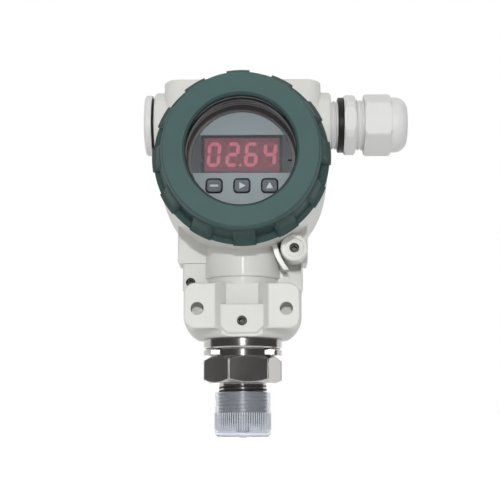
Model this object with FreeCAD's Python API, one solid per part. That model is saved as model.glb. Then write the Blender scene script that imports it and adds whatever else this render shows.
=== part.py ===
"""Head-mounted pressure transmitter with a local LED indicator.

Millimetres. The origin is on the axis of the process connection, at the sealing shoulder where the
hexagon meets the male thread. +Z points up to the housing, -Y to the front (the window) and +X to
the cable gland.
"""
import FreeCAD, Part
import math
import os
from FreeCAD import Vector

# Clearances
EASE = 0.1            # between pieces that turn or slide on each other
SET = 0.05            # between pieces that are screwed or pushed together for good
TOUCH = 0.05          # between flat faces of pieces that come apart

# Process connection: one turned stainless bar
THREAD_R = 10.0
THREAD_LENGTH = 18.0
NIPPLE_R = 3.0
NIPPLE_LENGTH = 2.6
PRESSURE_BORE_R = 1.5
HEX_FLATS = 29.0
HEX_HEIGHT = 11.2
HEX_CHAMFER = 1.6
HEX_TURN = 10.5       # degrees that one corner stands away from the X axis
WAIST_R = 13.5
WAIST_HEIGHT = 3.2
EAR_HEIGHT = 2.3
EAR_GAP = 0.4
EAR_HALF_WIDTH = 9.8
COLLAR_R = 16.7
COLLAR_HEIGHT = 7.4
COLLAR_CHAMFER = 0.6
SPIGOT_R = 13.2
SPIGOT_HEIGHT = 14.5
SEAL_GROOVE_R = 11.7
SEAL_GROOVE_WIDTH = 2.0
CAPSULE_R = 9.5
CAPSULE_HEIGHT = 9.0
CAPSULE_FLOOR = 6.0   # above the shoulder
HEADER_THICKNESS = 1.6

# Thread protection cap
CAP_EASE = 0.65
CAP_WALL = 1.15
CAP_TOP = -3.7
CAP_FLOOR = 1.6
CAP_SEAT_GAP = 0.3
GATE_R = 1.6
GATE_HEIGHT = 0.4

# Housing: barrel, head block with the cable entries, neck and base
BARREL_Z = 91.1
BARREL_FRONT = 28.0   # distances towards the front are positive
BARREL_BACK = -34.0
COVER_THREAD_R = 32.0
COVER_THREAD_LENGTH = 11.0
BARREL_RIM = 3.3      # wall round the thread at the front
BARREL_DRAFT = 1.7    # the barrel is this much thicker at the back
CAVITY_STEP = 2.5     # the cavity is this much narrower than the thread
HEAD_INSET = 1.9      # the head block's sides stand this far inside the front of the barrel
HEAD_HALF_DEPTH = 16.0
HEAD_WALL = 2.3       # over the bosses
HEAD_CORNER = 7.0      # seen from above
HEAD_EDGE = 1.2
ENTRY_RISE = 21.1     # above the barrel's axis
ENTRY_WALL = 4.0
ENTRY_PROUD = 4.4     # a boss stands out of the head block by this
ENTRY_THREAD_R = 10.0
ENTRY_THREAD_LENGTH = 14.0
ENTRY_WAY_R = 8.5
STEP_RISE = 7.9       # the partition between the compartments is stepped this far above the axis
STEP_WALL = 3.0
FRONT_WALL_AT = 12.5
WALL = 2.5
BACK_WALL_AT = -9.0
NECK_R = 15.5
NECK_RING_R = 16.3
NECK_RING_RISE = 2.9  # above the drum
NECK_WAY_R = 6.0
BASE_R = 25.1
BASE_FOOT_R = 19.6
BASE_BOTTOM = 18.7
BASE_TOP = 41.2
PAD_FRONT = 24.0
PAD_INNER = 10.9
PAD_OUTER = 23.8
PAD_SLOPE = 4.2
PAD_BOTTOM = 21.6
PAD_DROP = 0.8        # below the drum's top
PAD_CORNER = 4.6
PAD_EDGE = 0.8
BRACKET_HOLE_R = 2.7
BRACKET_HOLE_DEPTH = 7.5
BRACKET_HALF_SPACING = 18.25
BRACKET_HOLE_Z = 29.8
BIB_FRONT = 20.0
BIB_HALF_WIDTH = 9.2
BIB_BOTTOM = 20.0
BIB_TOP = 32.2
BIB_CHAMFER = 3.0
BIB_PROUD = 0.8         # in front of the recess between the pads
SET_SCREW_R = 2.0
SET_SCREW_LENGTH = 5.0
SET_SCREW_Z = 25.2
SET_SCREW_DEPTH = 0.5
SHOULDER_X = 27.7
SHOULDER_FRONT = 5.0
SHOULDER_BACK = -12.0
SHOULDER_DROP = 40.0  # its lower edge below the barrel's axis
SHOULDER_ROOT = 19.1  # its upper end, inside the barrel
WEB_X = 25.6
WEB_FRONT = 4.0
WEB_BACK = -11.0
WEB_SINK = 2.2        # into the drum
WEB_INNER_X = 12.0
GROUND_X = -22.2
GROUND_RISE = 1.7     # above the drum
GROUND_R = 2.0
GROUND_LENGTH = 5.0
GROUND_DEPTH = 0.8
LOCK_X = 21.7
LOCK_DROP = 35.3      # below the barrel's axis
LOCK_BOSS_R = 5.7
LOCK_BOSS_FRONT = 18.0
LOCK_RIM_R = 3.9
LOCK_RIM_DEPTH = 0.5
LOCK_R = 2.0
LOCK_LENGTH = 5.0
LOCK_DEPTH = 3.0
POCKET_X = 17.5         # the hollow under the lock boss
POCKET_WALL = 0.8
POCKET_BACK = 1.5
POCKET_EASE = 0.4
RIB_RISE = 10.0       # the curved rib's top above the lock screw
RIB_DROP = 8.8        # its foot below the lock screw
RIB_FRONT = 14.5
RIB_WIDTH = 2.2
RIB_TOP_X = 12.2
RIB_BEND_X = 13.0
RIB_BEND = -0.5
RIB_FOOT_X = 17.4

# Covers
COVER_RIM_STEP = 4.0    # these steps lie outside the thread, and the side tapers towards the face
LUG_RIM_STEP = 4.6
LUG_FOOT_STEP = 2.9
LUG_TOP_STEP = 0.7
COVER_BAND_STEP = 0.2
COVER_FACE_STEP = -1.2
GAP_FOOT_STEP = 2.0
GAP_TOP_STEP = 0.0
WALL_FOOT_STEP = 0.4
WALL_TOP_STEP = -0.5
SKIRT_WALL = 3.5
COVER_FLANGE = 2.0
COVER_GAP = 1.0       # room for the seal between the housing's rim and the cover's flange
FRONT_COVER_DEPTH = 17.4
BACK_COVER_DEPTH = 14.0
COVER_BEVEL = 3.3
COVER_STEP = 0.9
COVER_RIM_EDGE = 1.1
WINDOW_EDGE = 1.2
COVER_FACE_THICKNESS = 3.0
LUG_COUNT = 12
LUG_ANGLE = 15.0
LUG_TURN = 2.3
LUG_FOOT = 2.0          # a lug slopes down to the rim over this height
SKIRT_LENGTH = 10.0
SEAL_SECTION = 1.5

# Window
GLASS_R = 25.3
LIP = 2.5
GASKET_THICKNESS = 1.0
GLASS_HOLD = 3.9        # the lip covers the glass by this
GASKET_WIDTH = 2.0
GLASS_THICKNESS = 6.0
GLASS_RING_THICKNESS = 3.0
GLASS_RING_WIDTH = 2.8
GLASS_SEAT_EASE = 0.2

# Indicator
PLATE_FRONT = 20.9
PLATE_R = 21.6
PLATE_THICKNESS = 1.2
CASE_WALL = 4.4
CASE_RISE = 6.1         # its rim in front of the plate
CASE_STEP = 3.0         # the upright part of its rim, inside
CASE_HOLD = 0.7         # the bezel covers the plate by this
CASE_LIP = 1.2
CASE_LEDGE = 1.2
CASE_RIM = 2.4
FILTER_BOTTOM = -4.5  # from the barrel axis
FILTER_TOP = 11.0
FILTER_HALF_WIDTH = 16.8
FILTER_THICKNESS = 1.0
MODULE_EASE = 0.8
MODULE_SIDE_EASE = 1.2
KEY_Z = -10.2
KEY_PITCH = 11.5
KEY_WIDTH = 5.9
KEY_HEIGHT = 5.1
KEY_CORNER = 1.2
KEY_PROUD = 0.6
KEY_TRAVEL = 0.35
KEY_EASE = 0.15
KEY_FLANGE = 0.7
KEY_FLANGE_THICKNESS = 0.8
SWITCH_SIZE = 4.4
SWITCH_HEIGHT = 2.4
SWITCH_STEM_R = 1.2
SWITCH_STEM_HEIGHT = 0.7
BOARD = 1.6
DISPLAY_BOARD_BACK = 13.0
MAIN_BOARD_BACK = 6.4
MAIN_BOARD_R = 27.0
SPACER_R = 2.3
SPACERS = ((-18.9, 2.0), (18.9, 2.0), (-10.5, -15.8), (10.5, -15.8))   # from the barrel axis
STUD_R = 1.0
NUT_FLATS = 4.0
NUT_HEIGHT = 1.5
CONNECTOR_HALF_WIDTH = 4.0
CONNECTOR_DEPTH = 8.0
CONNECTOR_RISE = 4.4    # above the cavity's floor
CONNECTOR_HEIGHT = 5.0
LEAD_R = 1.3

# Terminals
TERMINAL_HALF_WIDTH = 20.0
TERMINAL_DEPTH = 10.0
TERMINAL_BOTTOM = -14.0
TERMINAL_TOP = 0.0
TERMINAL_COUNT = 3
TERMINAL_PITCH = 10.0
TERMINAL_CELL_WIDTH = 7.6
TERMINAL_CELL_DEPTH = 5.0
TERMINAL_ROOF = 3.0
TERMINAL_SCREW_R = 2.6
TERMINAL_SCREW_HEAD = 2.0
TERMINAL_CLAMP_THICKNESS = 1.0
TERMINAL_FIX_X = 17.0
TERMINAL_FIX_R = 1.5
TERMINAL_FIX_HEAD_R = 2.6
TERMINAL_FIX_HEAD = 1.8
TERMINAL_FIX_BITE = 2.0

# Blanking plug
PLUG_BRIM = 3.05        # outside the thread
PLUG_HEAD = 3.0
PLUG_DOME = 0.5
PLUG_SHANK = 11.0
PLUG_SEAL_WIDTH = 1.2
PLUG_SEAL_SECTION = 1.8

# Cable gland
GLAND_EXPOSED = 3.1
GLAND_WASHER = 2.6
GLAND_WASHER_BRIM = 1.9
GLAND_SHANK = 12.0
GLAND_FLATS = 24.0
GLAND_CORNER_R = 13.0
GLAND_HEX = 5.0
GLAND_NECK = 3.7
GLAND_NECK_STEP = 0.4
GLAND_BORE_R = 6.5
GLAND_NUT_HEX = 11.5
GLAND_NUT_CORNER_R = 13.6
GLAND_DOME = 7.0
GLAND_DOME_R = 11.85
GLAND_DOME_END_R = 8.2
GLAND_MOUTH_R = 6.4
GLAND_CLAW_WALL = 1.55
GLAND_CLAW_LENGTH = 8.0
GLAND_SEAL_WALL = 2.6
GLAND_SEAL_BORE_R = 5.0
GLAND_SEAL_LENGTH = 10.0

# Sizes and places that follow from those above
CAP_R = THREAD_R + CAP_EASE + CAP_WALL
CAVITY_R = COVER_THREAD_R - CAVITY_STEP
BARREL_FRONT_R = COVER_THREAD_R + BARREL_RIM
BARREL_BACK_R = BARREL_FRONT_R + BARREL_DRAFT
HEAD_HALF_WIDTH = BARREL_FRONT_R - HEAD_INSET
ENTRY_Z = BARREL_Z + ENTRY_RISE
ENTRY_BOSS_R = ENTRY_THREAD_R + ENTRY_WALL
ENTRY_FACE = HEAD_HALF_WIDTH + ENTRY_PROUD
HEAD_TOP = ENTRY_Z + ENTRY_BOSS_R + HEAD_WALL
STEP_LOW = BARREL_Z + STEP_RISE
STEP_HIGH = STEP_LOW + STEP_WALL
NECK_RING_Z = BASE_TOP + NECK_RING_RISE
PAD_TOP = BASE_TOP - PAD_DROP
SHOULDER_BOTTOM = BARREL_Z - SHOULDER_DROP
SHOULDER_TOP = BARREL_Z - SHOULDER_ROOT
WEB_BOTTOM = BASE_TOP - WEB_SINK
GROUND_Z = BASE_TOP + GROUND_RISE
LOCK_Z = BARREL_Z - LOCK_DROP
COVER_RIM_R = COVER_THREAD_R + COVER_RIM_STEP
LUG_RIM_R = COVER_THREAD_R + LUG_RIM_STEP
LUG_FOOT_R = COVER_THREAD_R + LUG_FOOT_STEP
LUG_TOP_R = COVER_THREAD_R + LUG_TOP_STEP
GAP_FOOT_R = COVER_THREAD_R + GAP_FOOT_STEP
GAP_TOP_R = COVER_THREAD_R + GAP_TOP_STEP
WALL_FOOT_R = COVER_THREAD_R + WALL_FOOT_STEP
WALL_TOP_R = COVER_THREAD_R + WALL_TOP_STEP
COVER_BAND_R = COVER_THREAD_R + COVER_BAND_STEP
COVER_FACE_R = COVER_THREAD_R + COVER_FACE_STEP
COVER_BORE_R = COVER_THREAD_R - SKIRT_WALL
WINDOW_R = GLASS_R - GLASS_HOLD
GASKET_R = GLASS_R - GASKET_WIDTH
GLASS_RING_R = GLASS_R - GLASS_RING_WIDTH
CASE_R = PLATE_R + CASE_WALL
CASE_FRONT = PLATE_FRONT + CASE_RISE
CASE_OPENING_R = PLATE_R - CASE_HOLD
DISPLAY_BOARD_R = CASE_R
MODULE_HALF_WIDTH = FILTER_HALF_WIDTH - MODULE_SIDE_EASE
MODULE_BOTTOM = FILTER_BOTTOM + MODULE_EASE
MODULE_TOP = FILTER_TOP - MODULE_EASE
CONNECTOR_BOTTOM = BARREL_Z - CAVITY_R + CONNECTOR_RISE
PLUG_R = ENTRY_THREAD_R + PLUG_BRIM
PLUG_SEAL_R = ENTRY_THREAD_R + PLUG_SEAL_SECTION
GLAND_WASHER_R = ENTRY_THREAD_R + GLAND_WASHER_BRIM
GLAND_NECK_R = ENTRY_THREAD_R + GLAND_NECK_STEP
GLAND_SEAL_R = GLAND_SEAL_BORE_R + GLAND_SEAL_WALL
GLAND_CLAW_R = GLAND_SEAL_R + SET + GLAND_CLAW_WALL
COLLAR_BOTTOM = HEX_HEIGHT + WAIST_HEIGHT
COLLAR_TOP = COLLAR_BOTTOM + COLLAR_HEIGHT
SPIGOT_TOP = COLLAR_TOP + SPIGOT_HEIGHT
NIPPLE_END = -THREAD_LENGTH - NIPPLE_LENGTH
CAP_INNER_FLOOR = NIPPLE_END - CAP_SEAT_GAP
CAP_BOTTOM = CAP_INNER_FLOOR - CAP_FLOOR
FLANGE_FRONT_AT = BARREL_FRONT + COVER_GAP
FLANGE_BACK_AT = BARREL_BACK - COVER_GAP
COVER_FRONT = FLANGE_FRONT_AT + FRONT_COVER_DEPTH
LIP_BACK = COVER_FRONT - LIP
GLASS_FRONT = LIP_BACK - GASKET_THICKNESS
GLASS_BACK = GLASS_FRONT - GLASS_THICKNESS
GLASS_RING_BACK = GLASS_BACK - GLASS_RING_THICKNESS
PLATE_BACK = PLATE_FRONT - PLATE_THICKNESS
DISPLAY_BOARD_FRONT = DISPLAY_BOARD_BACK + BOARD
MAIN_BOARD_FRONT = MAIN_BOARD_BACK + BOARD
SWITCH_STEM_FRONT = DISPLAY_BOARD_FRONT + SWITCH_HEIGHT + SWITCH_STEM_HEIGHT
KEY_BACK = SWITCH_STEM_FRONT + KEY_TRAVEL + TOUCH
BACK_ROOM_AT = BACK_WALL_AT - WALL - 0.5
GLAND_FACE = ENTRY_FACE + GLAND_EXPOSED
GLAND_HEX_AT = GLAND_FACE + GLAND_WASHER
GLAND_NECK_AT = GLAND_HEX_AT + GLAND_HEX
GLAND_NUT_AT = GLAND_NECK_AT + GLAND_NECK
GLAND_DOME_AT = GLAND_NUT_AT + GLAND_NUT_HEX
GLAND_END = GLAND_DOME_AT + GLAND_DOME


def outline(start, *steps):
    """Closed wire in the XY plane. A step is a point, or (point on the arc, end of the arc)."""
    edges = []
    here = Vector(*start, 0)
    for step in steps + (start,):
        if isinstance(step[0], tuple):
            middle, end = (Vector(*p, 0) for p in step)
            edges.append(Part.Arc(here, middle, end).toShape())
        else:
            end = Vector(*step, 0)
            if end.isEqual(here, 1e-7):
                continue
            edges.append(Part.LineSegment(here, end).toShape())
        here = end
    return Part.Wire(edges)


def turned(start, *steps):
    """Solid of revolution about Z from a closed outline of (radius, height) points."""
    face = Part.Face(outline(start, *steps))
    face.rotate(Vector(), Vector(1, 0, 0), 90)
    return face.revolve(Vector(), Vector(0, 0, 1), 360)


def extruded(height, start, *steps, at=0.0):
    """Outline in the XY plane, raised along +Z from the level at."""
    face = Part.Face(outline(start, *steps))
    face.translate(Vector(0, 0, at))
    return face.extrude(Vector(0, 0, height))


def rod(radius, low, high, x=0.0, y=0.0):
    """Round bar along Z between two levels."""
    return Part.makeCylinder(radius, high - low, Vector(x, y, low))


def ring(outer, inner, low, high):
    return rod(outer, low, high).cut(rod(inner, low, high))


def block(x0, x1, y0, y1, z0, z1):
    return Part.makeBox(x1 - x0, y1 - y0, z1 - z0, Vector(x0, y0, z0))


def hexagon(flats, low, high, turn=0.0):
    """Hexagonal bar along Z; turn is the angle of one corner from the X axis."""
    radius = flats / math.sqrt(3)
    angles = [math.radians(turn + 60 * k) for k in range(6)]
    corners = [(radius * math.cos(a), radius * math.sin(a)) for a in angles]
    return extruded(high - low, corners[0], *corners[1:], at=low)


def rounded_block(width, height, corner, low, high, x=0.0, y=0.0):
    """Block along Z with rounded upright edges, centred on x, y."""
    body = block(x - width / 2, x + width / 2, y - height / 2, y + height / 2, low, high)
    return body.makeFillet(corner, upright(body))


def upright(shape):
    """Straight edges that run along Z."""
    return [e for e in shape.Edges if is_along(e, Vector(0, 0, 1))]


def is_along(edge, direction):
    ends = edge.Vertexes
    if len(ends) != 2 or edge.Curve.TypeId != "Part::GeomLine":
        return False
    run = ends[1].Point - ends[0].Point
    return abs(abs(run.dot(direction)) - run.Length) < 1e-6


def crown(radius, rise, level):
    """Step of an outline: a spherical crown from its edge at radius up to the axis."""
    sphere = (radius ** 2 + rise ** 2) / (2 * rise)
    half = radius / 2
    middle = math.sqrt(sphere ** 2 - half ** 2) - (sphere - rise)
    return (half, level + middle), (0, level + rise)


def joined(first, *others):
    return first.multiFuse(list(others)).removeSplitter()


def facing_front(shape, z=BARREL_Z):
    """Local X, Y, Z become right, up and towards the front, about a line at height z."""
    placed = shape.copy()
    placed.rotate(Vector(), Vector(1, 0, 0), 90)
    placed.translate(Vector(0, 0, z))
    return placed


def facing_gland(shape):
    """Local +Z becomes +X, on the axis of the cable entries."""
    placed = shape.copy()
    placed.rotate(Vector(), Vector(0, 1, 0), 90)
    placed.translate(Vector(0, 0, ENTRY_Z))
    return placed


def facing_plug(shape):
    """Local +Z becomes -X, on the axis of the cable entries."""
    placed = shape.copy()
    placed.rotate(Vector(), Vector(0, 1, 0), -90)
    placed.translate(Vector(0, 0, ENTRY_Z))
    return placed


# Housing

def barrel():
    middle_r = (BARREL_FRONT_R + BARREL_BACK_R) / 2 + 0.4
    shell = turned((0, BARREL_BACK), (BARREL_BACK_R - 0.6, BARREL_BACK), (BARREL_BACK_R, BARREL_BACK + 0.6),
                   (BARREL_BACK_R, BARREL_BACK + 10), (middle_r, 0), (BARREL_FRONT_R, BARREL_FRONT - 0.6),
                   (BARREL_FRONT_R - 0.6, BARREL_FRONT), (0, BARREL_FRONT))
    return facing_front(shell)


def head_block():
    body = block(-HEAD_HALF_WIDTH, HEAD_HALF_WIDTH, -HEAD_HALF_DEPTH, HEAD_HALF_DEPTH, BARREL_Z, HEAD_TOP)
    body = body.makeFillet(HEAD_CORNER, upright(body))
    return body.makeFillet(HEAD_EDGE, [e for e in body.Edges if e.CenterOfMass.z > HEAD_TOP - 0.01])


def entry_bosses():
    edge = 0.8
    half = turned((0, 0), (ENTRY_BOSS_R + 1.0, 0), (ENTRY_BOSS_R, ENTRY_FACE - edge),
                  (ENTRY_BOSS_R - edge, ENTRY_FACE), (0, ENTRY_FACE))
    return [facing_gland(half), facing_plug(half)]


def pad_recess(floor, low, high):
    """Space between the two pads, down to a floor, with the same sloping sides as the pads."""
    root = PAD_INNER - PAD_SLOPE * (PAD_FRONT - floor) / (PAD_FRONT - NECK_R)
    front = BASE_R + 1
    return extruded(high - low, (-PAD_INNER, -front), (-PAD_INNER, -PAD_FRONT), (-root, -floor),
                    (root, -floor), (PAD_INNER, -PAD_FRONT), (PAD_INNER, -front), at=low)


def base():
    """Drum under the neck, with a rounded foot and a recess between the pads."""
    foot_z = BASE_BOTTOM + 9.0
    drum = turned((0, BASE_BOTTOM), (BASE_FOOT_R, BASE_BOTTOM),
                  ((BASE_R - 1.8, BASE_BOTTOM + 3.6), (BASE_R, foot_z)),
                  (BASE_R, BASE_TOP - 3.2), ((BASE_R - 0.8, BASE_TOP - 1.2), (BASE_R - 2.6, BASE_TOP)),
                  (0, BASE_TOP))
    drum = drum.cut(pad_recess(BIB_FRONT - BIB_PROUD, BASE_BOTTOM - 1, BIB_TOP))
    return drum.cut(pad_recess(NECK_R, BIB_TOP, BASE_TOP + 1))


def bracket_pad(side):
    """Raised mounting pad with a sloping inner wall; side is -1 or 1."""
    root = PAD_INNER - PAD_SLOPE
    points = [(PAD_OUTER, -PAD_FRONT), (PAD_INNER, -PAD_FRONT), (root, -NECK_R), (root, 0), (PAD_OUTER, 0)]
    points = [(side * x, y) for x, y in points]
    pad = extruded(PAD_TOP - PAD_BOTTOM, points[0], *points[1:], at=PAD_BOTTOM)
    corners = [e for e in pad.Edges if is_along(e, Vector(0, 1, 0))
               and abs(abs(e.CenterOfMass.x) - PAD_OUTER) < 0.01]
    pad = pad.makeFillet(PAD_CORNER, corners)
    front = [e for e in pad.Edges if abs(e.CenterOfMass.y + PAD_FRONT) < 0.01]
    return pad.makeFillet(PAD_EDGE, front)


def bib():
    """Centre pad that carries the set screw, with its lower corners cut off."""
    half = BIB_HALF_WIDTH
    foot = half - BIB_CHAMFER
    bend = BIB_BOTTOM + BIB_CHAMFER
    shape = extruded(BIB_FRONT, (-half, BIB_TOP), (-half, bend), (-foot, BIB_BOTTOM), (foot, BIB_BOTTOM),
                     (half, bend), (half, BIB_TOP))
    front = [e for e in shape.Edges if abs(e.CenterOfMass.z - BIB_FRONT) < 0.01]
    return facing_front(shape.makeFillet(0.7, front), 0)


def neck():
    core = rod(NECK_R, BASE_BOTTOM + 1, NECK_RING_Z + 1)
    upper = rod(NECK_RING_R, NECK_RING_Z, BARREL_Z - CAVITY_R)
    rim = upper.makeChamfer(0.5, [e for e in upper.Edges if abs(e.CenterOfMass.z - NECK_RING_Z) < 0.01])
    return [core, rim]


def shoulder(side):
    """Cheek between the barrel and the base: a wide upper part, a lip under it and a narrower web."""
    def cheek(outer, inner, back, front, low, high):
        xs = sorted((side * outer, side * inner))
        return block(xs[0], xs[1], -front, -back, low, high)

    upper = cheek(SHOULDER_X, WEB_INNER_X, SHOULDER_BACK, SHOULDER_FRONT, SHOULDER_BOTTOM, SHOULDER_TOP)
    edges = [e for e in upper.Edges if abs(e.CenterOfMass.x - side * SHOULDER_X) < 0.01]
    upper = upper.makeFillet(0.8, edges)
    web = cheek(WEB_X, WEB_INNER_X, WEB_BACK, WEB_FRONT, WEB_BOTTOM, SHOULDER_BOTTOM + 1)
    web = web.makeFillet(1.0, [e for e in web.Edges if abs(e.CenterOfMass.x - side * WEB_X) < 0.01])
    return [upper, web]


def lock_boss():
    """Round boss for the screw that locks the cover, with the rib that braces it to the neck."""
    boss = facing_front(rod(LOCK_BOSS_R, 0, LOCK_BOSS_FRONT, LOCK_X, 0), LOCK_Z)
    rim = [e for e in boss.Edges if abs(e.CenterOfMass.y + LOCK_BOSS_FRONT) < 0.01]
    boss = boss.makeChamfer(0.5, rim)
    foot = RIB_FOOT_X + RIB_WIDTH
    outer = (RIB_BEND_X, RIB_BEND), (RIB_FOOT_X, -RIB_DROP)
    inner = (RIB_BEND_X + RIB_WIDTH, RIB_BEND), (RIB_TOP_X + RIB_WIDTH, RIB_RISE)
    rib = extruded(RIB_FRONT, (RIB_TOP_X, RIB_RISE), outer, (foot, -RIB_DROP), inner)
    return [boss, facing_front(rib, LOCK_Z)]


def lock_pocket():
    """Hollow under the lock boss."""
    return block(POCKET_X, WEB_X - POCKET_WALL, -SHOULDER_FRONT - 1, -POCKET_BACK,
                 LOCK_Z - RIB_DROP - POCKET_EASE, LOCK_Z - LOCK_R)


def compartments():
    """Space for the electronics at the front and for the terminals at the back, stepped past each other."""
    front = rod(CAVITY_R, FRONT_WALL_AT, BARREL_FRONT + 1)
    low = rod(CAVITY_R, BACK_WALL_AT, FRONT_WALL_AT)
    low = low.cut(block(-CAVITY_R, CAVITY_R, STEP_LOW - BARREL_Z, CAVITY_R, BACK_WALL_AT, FRONT_WALL_AT))
    back = rod(CAVITY_R, BARREL_BACK - 1, BACK_ROOM_AT)
    high_end = FRONT_WALL_AT - WALL
    high = rod(CAVITY_R, BACK_ROOM_AT, high_end)
    high = high.cut(block(-CAVITY_R, CAVITY_R, -CAVITY_R, STEP_HIGH - BARREL_Z, BACK_ROOM_AT, high_end))
    bore_r = COVER_THREAD_R + EASE
    mouths = [rod(bore_r, BARREL_FRONT - COVER_THREAD_LENGTH, BARREL_FRONT + 1),
              rod(bore_r, BARREL_BACK - 1, BARREL_BACK + COVER_THREAD_LENGTH)]
    return [facing_front(s) for s in (front, low, back, high, *mouths)]


def entry_bores():
    thread = rod(ENTRY_THREAD_R + SET, ENTRY_FACE - ENTRY_THREAD_LENGTH, ENTRY_FACE + 1)
    way = rod(ENTRY_WAY_R, 10.0, ENTRY_FACE)
    both = thread.fuse(way)
    return [facing_gland(both), facing_plug(both)]


def neck_bores():
    collar = rod(COLLAR_R + SET, BASE_BOTTOM - 1, COLLAR_TOP + SET)
    spigot = rod(SPIGOT_R + SET, BASE_BOTTOM - 1, SPIGOT_TOP + 1.0)
    way = rod(NECK_WAY_R, SPIGOT_TOP, BARREL_Z - CAVITY_R + 6)
    return [collar, spigot, way]


def screw_holes():
    """Bracket holes, and the holes of the set, lock and ground screws."""
    holes = []
    for side in (-1, 1):
        x = side * BRACKET_HALF_SPACING
        holes.append(facing_front(rod(BRACKET_HOLE_R, PAD_FRONT - BRACKET_HOLE_DEPTH, PAD_FRONT + 1, x),
                                  BRACKET_HOLE_Z))
    holes.append(facing_front(rod(SET_SCREW_R + SET, 10, BIB_FRONT + 1), SET_SCREW_Z))
    lock_back = LOCK_BOSS_FRONT - LOCK_DEPTH - LOCK_LENGTH - 1
    holes.append(facing_front(rod(LOCK_R + SET, lock_back, LOCK_BOSS_FRONT + 1, LOCK_X), LOCK_Z))
    lock_rim = rod(LOCK_RIM_R, LOCK_BOSS_FRONT - LOCK_RIM_DEPTH, LOCK_BOSS_FRONT + 1, LOCK_X)
    holes.append(facing_front(lock_rim, LOCK_Z))
    ground_back = WEB_FRONT - GROUND_LENGTH - 2
    holes.append(facing_front(rod(GROUND_R + SET, ground_back, WEB_FRONT + 1, GROUND_X), GROUND_Z))
    holes.extend(facing_front(hole) for hole in terminal_fixing_holes())
    return holes


def housing():
    pads = [bracket_pad(-1), bracket_pad(1), bib()]
    cheeks = shoulder(-1) + shoulder(1) + lock_boss()
    solid = joined(barrel(), head_block(), *entry_bosses(), base(), *neck(), *pads, *cheeks)
    hollow = joined(*compartments(), *entry_bores(), *neck_bores(), *screw_holes(), lock_pocket())
    return solid.cut(hollow).removeSplitter()


# Covers and window

def sectors(hub, angle, count, start):
    """Equal sectors of a turned body, spaced evenly round its axis."""
    reach = LUG_RIM_R + 5
    half = math.radians(angle / 2)
    side, rise = reach * math.cos(half), reach * math.sin(half)
    low = hub.BoundBox.ZMin
    pieces = []
    for k in range(count):
        wedge = extruded(hub.BoundBox.ZLength, (0, 0), (side, -rise), (side, rise), at=low)
        wedge.rotate(Vector(), Vector(0, 0, 1), start + 360 / count * k)
        pieces.append(hub.common(wedge))
    return pieces


def lugs(band_level):
    """Grip lugs: each rises from the rim and tapers to the band under the face."""
    edge = 0.6
    hub = turned((0, COVER_RIM_EDGE), (LUG_RIM_R - 0.2, COVER_RIM_EDGE), (LUG_RIM_R, COVER_RIM_EDGE + 0.2),
                 (LUG_RIM_R, COVER_FLANGE), (LUG_FOOT_R, COVER_FLANGE + LUG_FOOT),
                 (LUG_TOP_R, band_level - edge), (LUG_TOP_R - edge, band_level), (0, band_level))
    return sectors(hub, LUG_ANGLE, LUG_COUNT, 90 + LUG_TURN)


def shallow_gaps(band_level):
    """Shallow gaps: every other gap between two lugs is filled nearly to their height."""
    pitch = 360 / LUG_COUNT
    hub = turned((0, COVER_RIM_EDGE), (GAP_FOOT_R, COVER_RIM_EDGE), (GAP_FOOT_R, COVER_FLANGE + 0.6),
                 (GAP_TOP_R, band_level - 0.6), (WALL_TOP_R, band_level), (0, band_level))
    return sectors(hub, pitch - LUG_ANGLE + 2, LUG_COUNT // 2, 90 + LUG_TURN + pitch / 2 - pitch)


def cover_shell(depth):
    """Cover with its flange's seat at level 0 and its face at depth, without any bore."""
    band_level = depth - COVER_BEVEL - COVER_STEP
    shell = turned((0, 0), (COVER_RIM_R - 0.3, 0), (COVER_RIM_R, 0.3), (COVER_RIM_R, COVER_RIM_EDGE),
                   (COVER_RIM_R - 0.9, COVER_FLANGE), (WALL_FOOT_R + 0.5, COVER_FLANGE),
                   (WALL_FOOT_R, COVER_FLANGE + 0.5), (WALL_TOP_R, band_level),
                   (COVER_BAND_R, band_level + 0.3), (COVER_BAND_R, band_level + COVER_STEP),
                   (COVER_FACE_R + 0.6, depth - 0.5), (COVER_FACE_R, depth), (0, depth))
    return joined(shell, *lugs(band_level), *shallow_gaps(band_level))


def skirt():
    """Threaded skirt behind the flange."""
    edge = 1.0
    return turned((0, 0.5), (COVER_THREAD_R, 0.5), (COVER_THREAD_R, -SKIRT_LENGTH + edge),
                  (COVER_THREAD_R - edge, -SKIRT_LENGTH), (0, -SKIRT_LENGTH))


def front_cover():
    solid = joined(cover_shell(FRONT_COVER_DEPTH), skirt())
    seat_r = GLASS_R + GLASS_SEAT_EASE
    cavity_top = GLASS_RING_BACK - FLANGE_FRONT_AT
    for tool in (rod(WINDOW_R, 0, FRONT_COVER_DEPTH + 1), rod(seat_r, 0, LIP_BACK - FLANGE_FRONT_AT),
                 rod(COVER_BORE_R, -SKIRT_LENGTH - 1, cavity_top)):
        solid = solid.cut(tool)
    rim = [e for e in solid.Edges if abs(e.CenterOfMass.z - FRONT_COVER_DEPTH) < 0.01
           and abs(e.BoundBox.XLength / 2 - WINDOW_R) < 0.01]
    solid = solid.makeFillet(WINDOW_EDGE, rim)
    solid.translate(Vector(0, 0, FLANGE_FRONT_AT))
    return facing_front(solid)


def rear_cover():
    solid = joined(cover_shell(BACK_COVER_DEPTH), skirt())
    solid = solid.cut(rod(COVER_BORE_R, -SKIRT_LENGTH - 1, BACK_COVER_DEPTH - COVER_FACE_THICKNESS))
    solid.rotate(Vector(), Vector(1, 0, 0), 180)
    solid.translate(Vector(0, 0, FLANGE_BACK_AT))
    return facing_front(solid)


def cover_seal(low, high):
    """Sealing ring round the root of a cover's skirt, squeezed flat between rim and flange."""
    inner = COVER_THREAD_R + 2 * EASE
    outer = inner + SEAL_SECTION
    return facing_front(ring(outer, inner, low + TOUCH, high - TOUCH))


def front_cover_seal():
    return cover_seal(BARREL_FRONT, FLANGE_FRONT_AT)


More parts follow.
